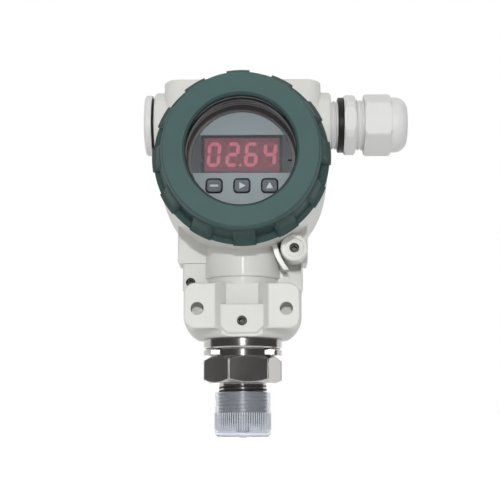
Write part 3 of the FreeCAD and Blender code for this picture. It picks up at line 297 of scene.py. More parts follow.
def set_surface(surface, **values):
    for name, value in values.items():
        surface.inputs[name.replace("_", " ")].default_value = value


def coated(name, colour, shade, roughness, grains=2400.0, depth=0.02, edge_radius=0.25, edge_highlight=0.0,
           edge_highlight_colour=(0.8, 0.8, 0.8), peel=0.3, patches=35.0, **surface_values):
    """Paint or moulded plastic: patches between two tones, a fine grain, and edges blended towards another tone
    as a painted highlight.

    The depth of the grain and the radius of the edges are in millimetres.
    """
    shade_roughness = roughness + 0.06
    material, tree, surface = blank_material(name)
    patch = use(tree, uneven_tone(), Patches_per_metre=patches)["Mask"]
    grain = use(tree, fine_grain(), Grains_per_metre=grains, Orange_peel=peel)["Height"]
    edges = use(tree, soft_edges(), Radius=edge_radius * MM)
    base = blend(tree, patch, shade, colour)
    # Painted highlight: near an edge the colour is blended towards a paler edge colour.
    if edge_highlight:
        base = blend(tree, math_node(tree, "MULTIPLY", edges["Edge"], edge_highlight), base, edge_highlight_colour)
    bump = node(tree, "Bump", {"Height": grain, "Distance": depth * MM, "Normal": edges["Normal"]})
    tree.links.new(base, surface.inputs["Base Color"])
    tree.links.new(ramp(tree, patch, 0, 1, shade_roughness, roughness), surface.inputs["Roughness"])
    tree.links.new(bump.outputs["Normal"], surface.inputs["Normal"])
    set_surface(surface, **surface_values)
    return material


def turned_metal(name, colour, roughness, lines=9000.0, depth=0.004):
    """Bright metal with lathe lines, slightly uneven polish and softened edges; the depth is in millimetres."""
    dull, dull_roughness = tuple(0.86 * c for c in colour), roughness + 0.08
    material, tree, surface = blank_material(name)
    patch = use(tree, uneven_tone(), Patches_per_metre=60.0)["Mask"]
    grooves = use(tree, tool_lines(), Lines_per_metre=lines)
    edges = use(tree, soft_edges(), Radius=0.6 * MM)
    bump = node(tree, "Bump", {"Height": grooves["Height"], "Distance": depth * MM, "Normal": edges["Normal"]})
    tree.links.new(blend(tree, patch, dull, colour), surface.inputs["Base Color"])
    tree.links.new(ramp(tree, patch, 0, 1, dull_roughness, roughness), surface.inputs["Roughness"])
    tree.links.new(bump.outputs["Normal"], surface.inputs["Normal"])
    set_surface(surface, Metallic=1.0)
    return material


def seen_through(name, colour, roughness, weight, ior, **surface_values):
    """Clear material whose shadow lets the light pass, so that what lies behind stays lit."""
    material, tree, surface = blank_material(name)
    smudge = use(tree, uneven_tone(), Patches_per_metre=55.0)["Mask"]
    smudged_roughness = roughness + 0.03
    tree.links.new(ramp(tree, smudge, 0, 1, roughness, smudged_roughness), surface.inputs["Roughness"])
    set_surface(surface, Base_Color=rgba(colour), Transmission_Weight=weight, IOR=ior, **surface_values)
    path = node(tree, "LightPath").outputs
    passing = math_node(tree, "MAXIMUM", path["Is Shadow Ray"], path["Is Diffuse Ray"])
    clear = node(tree, "BsdfTransparent", {"Color": rgba(colour)})
    both = node(tree, "MixShader", {0: passing, 1: surface.outputs[0], 2: clear.outputs[0]})
    tree.links.new(both.outputs[0], tree.nodes["Material Output"].inputs["Surface"])
    return material


def give(material, *names):
    """Puts a finish on CAD nodes."""
    for name in names:
        NODES[name].material_slots[0].material = material


# Mesh building

def add_piece(name, mesh, body, material, crease=40.0):
    """Makes an object of a bmesh, and lets it ride on a body with a finish."""
    data = bpy.data.meshes.new(name)
    bmesh.ops.recalc_face_normals(mesh, faces=mesh.faces[:])
    mesh.to_mesh(data)
    mesh.free()
    data.materials.append(material)
    made = bpy.data.objects.new(name, data)
    bpy.context.scene.collection.objects.link(made)
    data.shade_smooth()
    data.set_sharp_from_angle(angle=math.radians(crease))
    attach(made, body)
    return made


def along(axis, place):
    """Matrix that lays the local upright axis along another direction, from a place."""
    return Matrix.Translation(place) @ Vector((0, 0, 1)).rotation_difference(Vector(axis)).to_matrix().to_4x4()


def thread_ridge(mesh, radius, length, pitch, height, matrix, steps=40):
    """Helical ridge on a round bar, which fades out at both ends."""
    # Half widths of the ridge as shares of the pitch, how deep its foot sits, and how steeply its ends fade.
    foot, crest, sunk, fade = 0.36, 0.1, 0.05 * MM, 8
    turns = length / pitch
    count = int(turns * steps)
    rows = []
    for i in range(count + 1):
        share = i / count
        angle = 2 * math.pi * turns * share
        rise = height * min(1.0, fade * share, fade * (1 - share))
        level = length * share
        spots = ((radius - sunk, -foot), (radius + rise, -crest), (radius + rise, crest), (radius - sunk, foot))
        rows.append([mesh.verts.new(matrix @ Vector((r * math.cos(angle), r * math.sin(angle),
                                                     level + side * pitch)))
                     for r, side in spots])
    for low, high in zip(rows, rows[1:]):
        for k in range(4):
            mesh.faces.new((low[k], low[(k + 1) % 4], high[(k + 1) % 4], high[k]))
    mesh.faces.new(rows[0])
    mesh.faces.new(rows[-1][::-1])


def slab(mesh, outline, back, front, place):
    """Flat plate with an outline of (x, z) points, which faces the front between two depths."""
    shift = Vector(place)
    ring_back = [mesh.verts.new(shift + Vector((x, -back, z))) for x, z in outline]
    ring_front = [mesh.verts.new(shift + Vector((x, -front, z))) for x, z in outline]
    mesh.faces.new(ring_front)
    mesh.faces.new(ring_back[::-1])
    for i in range(len(outline)):
        j = (i + 1) % len(outline)
        mesh.faces.new((ring_back[i], ring_back[j], ring_front[j], ring_front[i]))


# Digits

SEGMENTS = {"0": "abcdef", "1": "bc", "2": "abged", "3": "abgcd", "4": "fgbc", "5": "afgcd", "6": "afgedc",
            "7": "abc", "8": "abcdefg", "9": "abcdfg", "-": "g", " ": ""}


def segment_outlines(width, height, stroke):
    """Outline of each of the seven segments, about the middle of the digit."""
    gap = 0.05 * stroke
    half_w, half_h, s = width / 2, height / 2, stroke

    def lying(z):
        reach = half_w - s / 2 - gap
        return [(-reach, z), (-reach + s / 2, z + s / 2), (reach - s / 2, z + s / 2), (reach, z),
                (reach - s / 2, z - s / 2), (-reach + s / 2, z - s / 2)]

    def standing(x, low, high):
        low, high = low + gap, high - gap
        return [(x, low), (x + s / 2, low + s / 2), (x + s / 2, high - s / 2), (x, high),
                (x - s / 2, high - s / 2), (x - s / 2, low + s / 2)]

    side, top = half_w - s / 2, half_h - s / 2
    return {"a": lying(top), "g": lying(0), "d": lying(-top), "b": standing(side, 0, top),
            "c": standing(side, -top, 0), "e": standing(-side, -top, 0), "f": standing(-side, 0, top)}


def rounded_outline(half_width, half_height, corner, steps=6):
    """Outline of a rectangle with round corners, about its middle."""
    outline = []
    for k, (side, rise) in enumerate(((1, 1), (-1, 1), (-1, -1), (1, -1))):
        for i in range(steps + 1):
            angle = math.pi / 2 * (k + i / steps)
            outline.append((side * (half_width - corner) + corner * math.cos(angle),
                            rise * (half_height - corner) + corner * math.sin(angle)))
    return outline


def frame_slab(mesh, inner, outer, back, front, place):
    """Flat frame between two outlines with as many points each."""
    shift = Vector(place)
    loops = [[mesh.verts.new(shift + Vector((x, -depth, z))) for x, z in outline]
             for outline, depth in ((inner, back), (inner, front), (outer, front), (outer, back))]
    join_loops(mesh, loops)


def join_loops(mesh, loops):
    """Closed skin through loops of points, each loop and the row of loops coming back to its start."""
    for first, second in zip(loops, loops[1:] + loops[:1]):
        for i in range(len(first)):
            j = (i + 1) % len(first)
            mesh.faces.new((first[i], first[j], second[j], second[i]))


def bead(mesh, radius, section, place, count=128, sides=8):
    """Round ring about an axis that runs front to back."""
    middle = Vector(place)
    loops = []
    for k in range(sides):
        turn = 2 * math.pi * k / sides
        r, y = radius + section * math.cos(turn), section * math.sin(turn)
        loops.append([mesh.verts.new(middle + Vector((r * math.cos(a), y, r * math.sin(a))))
                      for a in (2 * math.pi * i / count for i in range(count))])
    join_loops(mesh, loops)


def disc_outline(x, z, radius, count=16):
    return [(x + radius * math.cos(2 * math.pi * k / count), z + radius * math.sin(2 * math.pi * k / count))
            for k in range(count)]


def leaning(outline, slant, x):
    return [(x + px + pz * math.tan(slant), pz) for px, pz in outline]


# Operators

class TRANSMITTER_OT_housing_finish(bpy.types.Operator):
    """Off-white powder coat on the casting"""
    bl_idname = "transmitter.housing_finish"
    bl_label = "Housing finish"
    bl_options = {"REGISTER", "UNDO"}

    def execute(self, context):
        settings = context.scene.transmitter
        colour = Vector(settings.colours.housing)
        # The coat's edges take a paler painted highlight.
        coat = coated("White powder coat", colour, colour * 0.95, roughness=0.42, grains=2600.0, depth=0.025,
                      peel=0.6, edge_radius=0.35, edge_highlight=0.15, edge_highlight_colour=(0.85, 0.85, 0.83),
                      Specular_IOR_Level=0.3, Coat_Weight=0.03, Coat_Roughness=0.1)
        give(coat, "housing")
        return {"FINISHED"}


class TRANSMITTER_OT_cover_finish(bpy.types.Operator):
    """Teal enamel on both covers, with a painted highlight along the edges and painted shade on the flanks, and
    the front cover's widening window opening
    """
    bl_idname = "transmitter.cover_finish"
    bl_label = "Cover finish"
    bl_options = {"REGISTER", "UNDO"}

    def execute(self, context):
        settings = context.scene.transmitter
        colour = Vector(settings.colours.cover)
        # The enamel's edges take a paler painted highlight.
        enamel = coated("Teal enamel", colour, colour * 0.88, roughness=0.46, grains=3000.0, depth=0.012,
                        peel=0.5, edge_radius=0.45, edge_highlight=0.5, edge_highlight_colour=(0.19, 0.27, 0.26),
                        Specular_IOR_Level=0.08)
        # Painted shade on the covers' flanks.
        self.painted_flank_shade(enamel, colour * 0.7)
        give(enamel, "front_cover", "rear_cover")
        self.bevelled_cover(enamel)
        return {"FINISHED"}

    def painted_flank_shade(self, material, colour):
        """Painted shade: darker tone on the covers' flanks behind their faces."""
        tree = material.node_tree
        surface = tree.nodes["Principled BSDF"]
        face = surface.inputs["Base Color"].links[0].from_socket
        place = node(tree, "SeparateXYZ", {0: node(tree, "TexCoord").outputs["Object"]}).outputs["Y"]
        from_middle = math_node(tree, "ABSOLUTE", place)
        reach = -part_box("front_cover")[0].y
        deep, pale = reach - 3.5 * MM, reach - 1.5 * MM
        # Painted shade: full from 3.5 mm behind the front cover's face, fading out 1.5 mm behind it.
        flank_shade = ramp(tree, from_middle, deep, pale, 1.0, 0.0)
        tree.links.new(blend(tree, flank_shade, face, colour), surface.inputs["Base Color"])

    def bevelled_cover(self, enamel):
        """Copy of the front cover whose window opening widens from the glass towards the front."""
        glass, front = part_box("window_glass")[0].y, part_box("front_cover")[0].y
        # Radius of the opening, of the round at its rim, and how much wider it gets.
        narrow, fillet, widening = 21.4 * MM, 1.25 * MM, 2.0 * MM
        clear_of_glass, merged = 0.05 * MM, 0.001 * MM
        mesh = bmesh.new()
        mesh.from_mesh(NODES["front_cover"].data)
        bmesh.ops.remove_doubles(mesh, verts=mesh.verts[:], dist=merged)
        for vertex in mesh.verts:
            across, up = vertex.co.x, vertex.co.z - BARREL_Z
            radius = math.hypot(across, up)
            if radius < narrow + fillet and vertex.co.y < glass - clear_of_glass:
                share = (glass - vertex.co.y) / (glass - front)
                wider = (narrow + widening * share) / radius
                vertex.co.x, vertex.co.z = across * wider, BARREL_Z + up * wider
        shell = add_piece("bevelled_front_cover", mesh, "front_cover", enamel, crease=24.0)
        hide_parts("front_cover")


class TRANSMITTER_OT_gland_finish(bpy.types.Operator):
    """White nylon of the gland, white blanking plug, and black rubber seals"""
    bl_idname = "transmitter.gland_finish"
    bl_label = "Gland, plug and seals"
    bl_options = {"REGISTER", "UNDO"}

    def execute(self, context):
        settings = context.scene.transmitter
        colour = Vector(settings.colours.nylon)
        nylon = coated("White nylon", colour, colour * 0.96, roughness=0.38, grains=4000.0, depth=0.006,
                       edge_radius=0.3, Subsurface_Weight=0.08, Subsurface_Radius=(0.002, 0.002, 0.002))
        give(nylon, "gland_body", "gland_nut", "blanking_plug")
        rubber = coated("Black rubber", (0.012, 0.012, 0.013), (0.02, 0.02, 0.02), roughness=0.36,
                        grains=5000.0, depth=0.008, Specular_IOR_Level=0.2)
        give(rubber, "gland_washer", "gland_seal", "plug_seal", "front_cover_seal", "rear_cover_seal",
             "window_gasket", "sensor_seal")
        return {"FINISHED"}


class TRANSMITTER_OT_steel_finish(bpy.types.Operator):
    """Turned stainless steel, blackened screws, burnished hexagon edges, and brass"""
    bl_idname = "transmitter.steel_finish"
    bl_label = "Steel finish"
    bl_options = {"REGISTER", "UNDO"}

    def execute(self, context):
        settings = context.scene.transmitter
        steel = turned_metal("Turned stainless steel", tuple(settings.colours.steel), roughness=0.13,
                             depth=0.002)
        give(steel, "sensor_body", "sensor_capsule", "terminal_screws", "terminal_block_screws")
        # Dark steel for the screws, and painted shade on the process thread's ridge.
        dark = turned_metal("Blackened steel and painted thread shade", (0.07, 0.068, 0.065), roughness=0.4)
        give(dark, "neck_set_screw", "cover_lock_screw", "ground_screw")
        self.hexagon_edges(turned_metal("Burnished steel", (0.62, 0.61, 0.59), roughness=0.33))
        brass = turned_metal("Turned brass", (0.72, 0.5, 0.2), roughness=0.3)
        give(brass, "terminal_clamps", "board_spacers", "board_nuts", "main_board_standoffs")
        return {"FINISHED"}

    def hexagon_edges(self, finish):
        """Rounded upright edges of the process connection's hexagon."""
        mesh = bmesh.new()
        # Size across the flats and turn of the hexagon; radius of an edge and how far it stands out.
        flats, turned, radius, proud = 29 * MM, math.radians(10.5), 0.5 * MM, 0.06 * MM
        middle, length = 5.6 * MM, 8.4 * MM
        reach = flats / math.sqrt(3) - radius + proud
        for k in range(6):
            angle = turned + math.radians(30 + 60 * k)
            place = Vector((reach * math.sin(angle), -reach * math.cos(angle), middle))
            bmesh.ops.create_cone(mesh, cap_ends=True, segments=24, radius1=radius, radius2=radius,
                                  depth=length, matrix=Matrix.Translation(place))
        add_piece("hexagon_edges", mesh, "root", finish)


class TRANSMITTER_OT_window_finish(bpy.types.Operator):
    """Clear window glass and its black ring"""
    bl_idname = "transmitter.window_finish"
    bl_label = "Window"
    bl_options = {"REGISTER", "UNDO"}

    def execute(self, context):
        glass = seen_through("Window glass", (0.97, 0.985, 0.98), roughness=0.0, weight=1.0, ior=1.45)
        give(glass, "window_glass")
        ring = coated("Black anodised ring", (0.012, 0.012, 0.013), (0.018, 0.018, 0.018), roughness=0.4,
                      Specular_IOR_Level=0.2)
        give(ring, "glass_retaining_ring")
        return {"FINISHED"}


class TRANSMITTER_OT_indicator_finish(bpy.types.Operator):
    """Plate with its dark band, smoked filter, case, keys and boards"""
    bl_idname = "transmitter.indicator_finish"
    bl_label = "Indicator finish"
    bl_options = {"REGISTER", "UNDO"}

    def execute(self, context):
        settings = context.scene.transmitter
        give(self.printed_plate(settings.colours), "display_plate")
        give(self.smoked_filter(settings.colours), "display_filter")
        # The case's edges take a paler painted highlight.
        case = coated("Grey case plastic", (0.105, 0.092, 0.098), (0.085, 0.075, 0.08), roughness=0.4,
                      grains=3000.0, depth=0.01, edge_highlight=0.5, edge_highlight_colour=(0.4, 0.38, 0.4))
        give(case, "display_case", "lead_connector", "terminal_block")
        # Painted glow: the face of the digits glows pink, standing for the haze round the lit segments.
        face = coated("Indicator face painted glow", (0.3, 0.1, 0.13), (0.26, 0.085, 0.11), roughness=0.5, grains=5000.0,
                      depth=0.004, Emission_Color=(0.62, 0.18, 0.26, 1), Emission_Strength=0.62)
        give(face, "led_digits")
        # The keys' edges take a paler painted highlight.
        key = coated("Grey key plastic", (0.19, 0.205, 0.245), (0.165, 0.18, 0.215), roughness=0.42,
                     grains=6000.0, depth=0.01, edge_highlight=0.7, edge_highlight_colour=(0.42, 0.44, 0.48),
                     Specular_IOR_Level=0.2)
        give(key, *KEYS, "button_switches")
        board = coated("Green circuit board", (0.02, 0.13, 0.06), (0.015, 0.1, 0.045), roughness=0.3,
                       patches=900.0, depth=0.01)
        give(board, "display_board", "main_board", "sensor_header")
        sleeve = coated("Lead sleeve", (0.35, 0.05, 0.05), (0.3, 0.04, 0.04), roughness=0.45)
        give(sleeve, "sensor_lead")
        return {"FINISHED"}

    def printed_plate(self, colours):
        """Pale plate with a dark band behind the filter, a little taller than it."""
        margin = 0.3 * MM
        material = coated("Printed plate", colours.plate, Vector(colours.plate) * 0.93, roughness=0.35,
                          grains=4000.0, depth=0.004, edge_radius=0.1, Specular_IOR_Level=0.15)
        tree = material.node_tree
        surface = tree.nodes["Principled BSDF"]
        ground = surface.inputs["Base Color"].links[0].from_socket
        low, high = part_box("display_filter")
        height = node(tree, "SeparateXYZ", {0: node(tree, "TexCoord").outputs["Object"]}).outputs["Z"]
        above = math_node(tree, "GREATER_THAN", height, low.z - margin)
        below = math_node(tree, "LESS_THAN", height, high.z + margin)
        inside = math_node(tree, "MULTIPLY", above, below)
        tree.links.new(blend(tree, inside, ground, colours.band), surface.inputs["Base Color"])
        return material

    def smoked_filter(self, colours):
        """Half clear strip in front of the digits."""
        return coated("Smoked filter", colours.band, Vector(colours.band) * 0.9, roughness=0.3, grains=3000.0,
                      depth=0.002, edge_radius=0.1, Alpha=0.42, Specular_IOR_Level=0.15)


class TRANSMITTER_OT_cap_finish(bpy.types.Operator):
    """Translucent thread cap with its fine grip ribs"""
    bl_idname = "transmitter.cap_finish"
    bl_label = "Thread cap"
    bl_options = {"REGISTER", "UNDO"}

    def execute(self, context):
        settings = context.scene.transmitter
        plastic = seen_through("Translucent cap plastic", (0.79, 0.82, 0.89), roughness=0.07, weight=0.86,
                               ior=1.2, Coat_Weight=1.0, Coat_Roughness=0.3)
        give(plastic, "thread_cap")
        low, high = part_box("thread_cap")
        radius, count = high.x, settings.threads.cap_ribs
        bottom, top, slope = low.z + 3.0 * MM, low.z + 10.6 * MM, 0.4 * MM
        half, proud, root = 0.22 * MM, 0.2 * MM, 0.06 * MM
        ribs = bmesh.new()
        for k in range(count):
            turn = Matrix.Rotation(2 * math.pi * k / count, 4, "Z")
            rows = []
            for level, out in ((bottom, 0), (bottom + slope, proud), (top - slope, proud), (top, 0)):
                rows.append([ribs.verts.new(turn @ Vector((radius + r, side, level)))
                             for r, side in ((-root, -half), (out, 0), (-root, half))])
            for a, b in zip(rows, rows[1:]):
                for i in range(3):
                    ribs.faces.new((a[i], a[(i + 1) % 3], b[(i + 1) % 3], b[i]))
            ribs.faces.new(rows[0])
            ribs.faces.new(rows[-1][::-1])
        milky = seen_through("Milky cap ribs", (0.86, 0.87, 0.9), roughness=0.3, weight=0.5, ior=1.15)
        add_piece("cap_grip_ribs", ribs, "thread_cap", milky)
        return {"FINISHED"}


class TRANSMITTER_OT_threads(bpy.types.Operator):
    """Helical ridges on the process connection, the gland, the plug and both covers"""
    bl_idname = "transmitter.threads"
    bl_label = "Threads"
    bl_options = {"REGISTER", "UNDO"}

    def execute(self, context):
        settings = context.scene.transmitter
        sizes = settings.threads

        def thread(name, body, finish, radius, length, axis, place, height):
            mesh = bmesh.new()
            thread_ridge(mesh, radius, length, sizes.pitch, height, along(axis, place))
            add_piece(name, mesh, body, bpy.data.materials[finish], crease=20.0)

        # Painted shade: the process thread's ridge takes the dark steel, darker than the stainless body it
        # stands on.
        thread("process_thread_ridge", "root", "Blackened steel and painted thread shade", radius=THREAD_R,
               length=16.5 * MM, axis=(0, 0, -1), place=(0, 0, -0.7 * MM), height=sizes.process_ridge)
        washer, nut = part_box("gland_washer")[0].x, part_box("gland_nut")[0].x
        thread("gland_thread_ridge", "root", "White nylon", radius=THREAD_R, length=3.0 * MM,
               axis=(-1, 0, 0), place=(washer - 0.1 * MM, 0, ENTRY_Z), height=sizes.gland_ridge)
        thread("gland_neck_ridge", "root", "White nylon", radius=GLAND_NECK_R, length=3.5 * MM,
               axis=(-1, 0, 0), place=(nut - 0.1 * MM, 0, ENTRY_Z), height=sizes.gland_neck_ridge)
        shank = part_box("plug_seal")[1].x
        thread("plug_thread_ridge", "plug", "White nylon", radius=THREAD_R, length=9.0 * MM,
               axis=(1, 0, 0), place=(shank + 0.3 * MM, 0, ENTRY_Z), height=sizes.hidden_ridge)
        for name, side in (("front_cover", -1), ("rear_cover", 1)):
            low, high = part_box(name + "_seal")
            start = high.y if side < 0 else low.y
            thread(name + "_thread_ridge", name, "Teal enamel", radius=COVER_THREAD_R,
                   length=7.5 * MM, axis=(0, -side, 0), place=(0, start - side * 0.5 * MM, BARREL_Z),
                   height=sizes.hidden_ridge)
        return {"FINISHED"}


class TRANSMITTER_OT_digits(bpy.types.Operator):
    """Lit segments of the four digits, and unlit ones with a faint painted glow"""
    bl_idname = "transmitter.digits"
    bl_label = "Digits"
    bl_options = {"REGISTER", "UNDO"}

    def execute(self, context):
        settings = context.scene.transmitter
        sizes, colours = settings.digits, settings.colours
        low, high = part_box("led_digits")
        middle = Vector(((low.x + high.x) / 2, 0, (low.z + high.z) / 2))
        back, front = -low.y - 0.05 * MM, -low.y + 0.06 * MM
        point_gap, point_radius = 0.75 * MM, 0.55 * MM
        lit, unlit = bmesh.new(), bmesh.new()
        outlines = segment_outlines(sizes.width, sizes.height, sizes.stroke)
        digits = [c for c in sizes.reading if c != "."]
        pointed = self.pointed(sizes.reading)
        start = -sizes.pitch * (len(digits) - 1) / 2
        for k, digit in enumerate(digits):
            x = start + sizes.pitch * k
            for letter, outline in outlines.items():
                mesh = lit if letter in SEGMENTS[digit] else unlit
                slab(mesh, leaning(outline, sizes.slant, x), back, front, middle)
            point = disc_outline(sizes.width / 2 + point_gap, (sizes.stroke - sizes.height) / 2, point_radius)
            slab(lit if k in pointed else unlit, leaning(point, sizes.slant, x), back, front, middle)
        bright = self.glow("Lit segment", colours.lit, strength=1.35)
        add_piece("lit_segments", lit, "root", bright)
        # Painted glow: the unlit segments glow faintly too.
        painted_glow_finish = self.glow("Unlit segment painted glow", (0.62, 0.15, 0.22), strength=0.62)
        add_piece("unlit_segments", unlit, "root", painted_glow_finish)
        return {"FINISHED"}

    def pointed(self, reading):
        """Places of the digits that a point follows."""
        places, count = set(), 0
        for c in reading:
            if c == ".":
                places.add(count - 1)
            else:
                count += 1
        return places

    def glow(self, name, colour, strength):
        """Glowing plastic, slightly uneven."""
        material, tree, surface = blank_material(name)
        patch = use(tree, uneven_tone(), Patches_per_metre=400.0)["Mask"]
        shade = blend(tree, patch, Vector(colour) * 0.8, colour)
        tree.links.new(shade, surface.inputs["Base Color"])
        tree.links.new(shade, surface.inputs["Emission Color"])
        set_surface(surface, Roughness=0.5, Emission_Strength=strength)
        return material


class TRANSMITTER_OT_key_symbols(bpy.types.Operator):
    """Pale symbols on the three keys: a bar, an arrow to the right and an arrow up"""
    bl_idname = "transmitter.key_symbols"
    bl_label = "Key symbols"
    bl_options = {"REGISTER", "UNDO"}

    def execute(self, context):
        pale_print = coated("Pale print", (0.8, 0.82, 0.86), (0.7, 0.72, 0.76), roughness=0.45, grains=5000.0,
                            depth=0.004)
        # Corners in millimetres, about the middle of each key.
        shapes = {"set_button": [(-1.7, -0.45), (1.7, -0.45), (1.7, 0.45), (-1.7, 0.45)],
                  "shift_button": [(-1.1, -1.45), (1.6, 0), (-1.1, 1.45)],
                  "up_button": [(-1.45, -1.2), (1.45, -1.2), (0, 1.5)]}
        for button, outline in shapes.items():
            low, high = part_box(button)
            mesh = bmesh.new()
            middle = ((low.x + high.x) / 2, 0, (low.z + high.z) / 2)
            back, front = -low.y - 0.05 * MM, -low.y + 0.04 * MM
            slab(mesh, [(x * MM, z * MM) for x, z in outline], back, front, middle)
            add_piece(button + "_symbol", mesh, button, pale_print)
        return {"FINISHED"}


class TRANSMITTER_OT_bezel_details(bpy.types.Operator):
    """Painted shade round the keys, the notch beside the digits with painted shade in its slot, and painted
    highlights on the edges of the rings behind the glass
    """
    bl_idname = "transmitter.bezel_details"
    bl_label = "Bezel details"
    bl_options = {"REGISTER", "UNDO"}

    def execute(self, context):
        face = -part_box("display_plate")[0].y
        sunk = face - 0.02 * MM
        # Painted shade: flat black pieces round the keys and in the notch stand for the shade in gaps and
        # hollows.
        shade_black = coated("Black painted shade", (0.004, 0.004, 0.005), (0.008, 0.008, 0.009), roughness=0.6, grains=5000.0,
                     depth=0.004, Specular_IOR_Level=0.1)
        self.painted_key_gap_shade(sunk, face + 0.05 * MM, shade_black)
        self.notch(sunk, face, shade_black)
        # Painted highlights: pale rings on the edges behind the glass.
        self.beads(coated("Bezel edge highlight", (0.5, 0.47, 0.49), (0.4, 0.38, 0.4), roughness=0.4, edge_highlight=0.5,
                          edge_highlight_colour=(0.62, 0.6, 0.62)))
        return {"FINISHED"}

    def painted_key_gap_shade(self, back, front, shade_black):
        """Painted shade: a black frame round each key, for the shade in the gap between key and plate."""
        half_width, half_height, line = 3.1 * MM, 2.7 * MM, 0.5 * MM
        inner = rounded_outline(half_width, half_height, 1.3 * MM)
        outer = rounded_outline(half_width + line, half_height + line, 1.8 * MM)
        outlines = bmesh.new()
        for button in KEYS:
            low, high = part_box(button)
            middle = ((low.x + high.x) / 2, 0, (low.z + high.z) / 2)
            frame_slab(outlines, inner, outer, back, front, middle)
        add_piece("painted_key_gap_shade", outlines, "root", shade_black)

    def notch(self, back, face, shade_black):
        """Small slot with a raised rim to the right of the digits; the slot is a flat black piece, painted
        shade for its hollow.
        """
        place = (19.9 * MM, 0, BARREL_Z + 0.5 * MM)
        rim, slot = bmesh.new(), bmesh.new()
        hollow = rounded_outline(0.95 * MM, 0.4 * MM, 0.35 * MM)
        frame_slab(rim, hollow, rounded_outline(1.2 * MM, 0.65 * MM, 0.5 * MM), back, face + 0.2 * MM, place)
        # Painted shade: flat black piece in the slot's place.
        slab(slot, hollow, back, face + 0.04 * MM, place)
        add_piece("bezel_notch_rim", rim, "root", bpy.data.materials["Grey case plastic"])
        add_piece("bezel_notch", slot, "root", shade_black)

    def beads(self, finish):
        """Painted highlights: thin pale rings on the edges of the case's rim and of the ring that holds the
        glass.
        """
        case_low, case_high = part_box("display_case")
        ring_low, ring_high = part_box("glass_retaining_ring")
        case, ring = bmesh.new(), bmesh.new()
        rim, outer = case_high.x - 2.4 * MM, ring_high.x
        for mesh, radius, section, depth in (
                (case, rim, 0.28 * MM, case_low.y + 0.1 * MM),
                (case, rim, 0.22 * MM, case_low.y + 3.0 * MM),
                (ring, outer - 2.8 * MM, 0.26 * MM, ring_high.y - 0.1 * MM),
                (ring, outer - 2.2 * MM, 0.2 * MM, ring_low.y + 0.15 * MM)):
            bead(mesh, radius, section, (0, depth, BARREL_Z))
        add_piece("case_rim_beads", case, "root", finish)
        add_piece("glass_ring_beads", ring, "front_cover", finish)


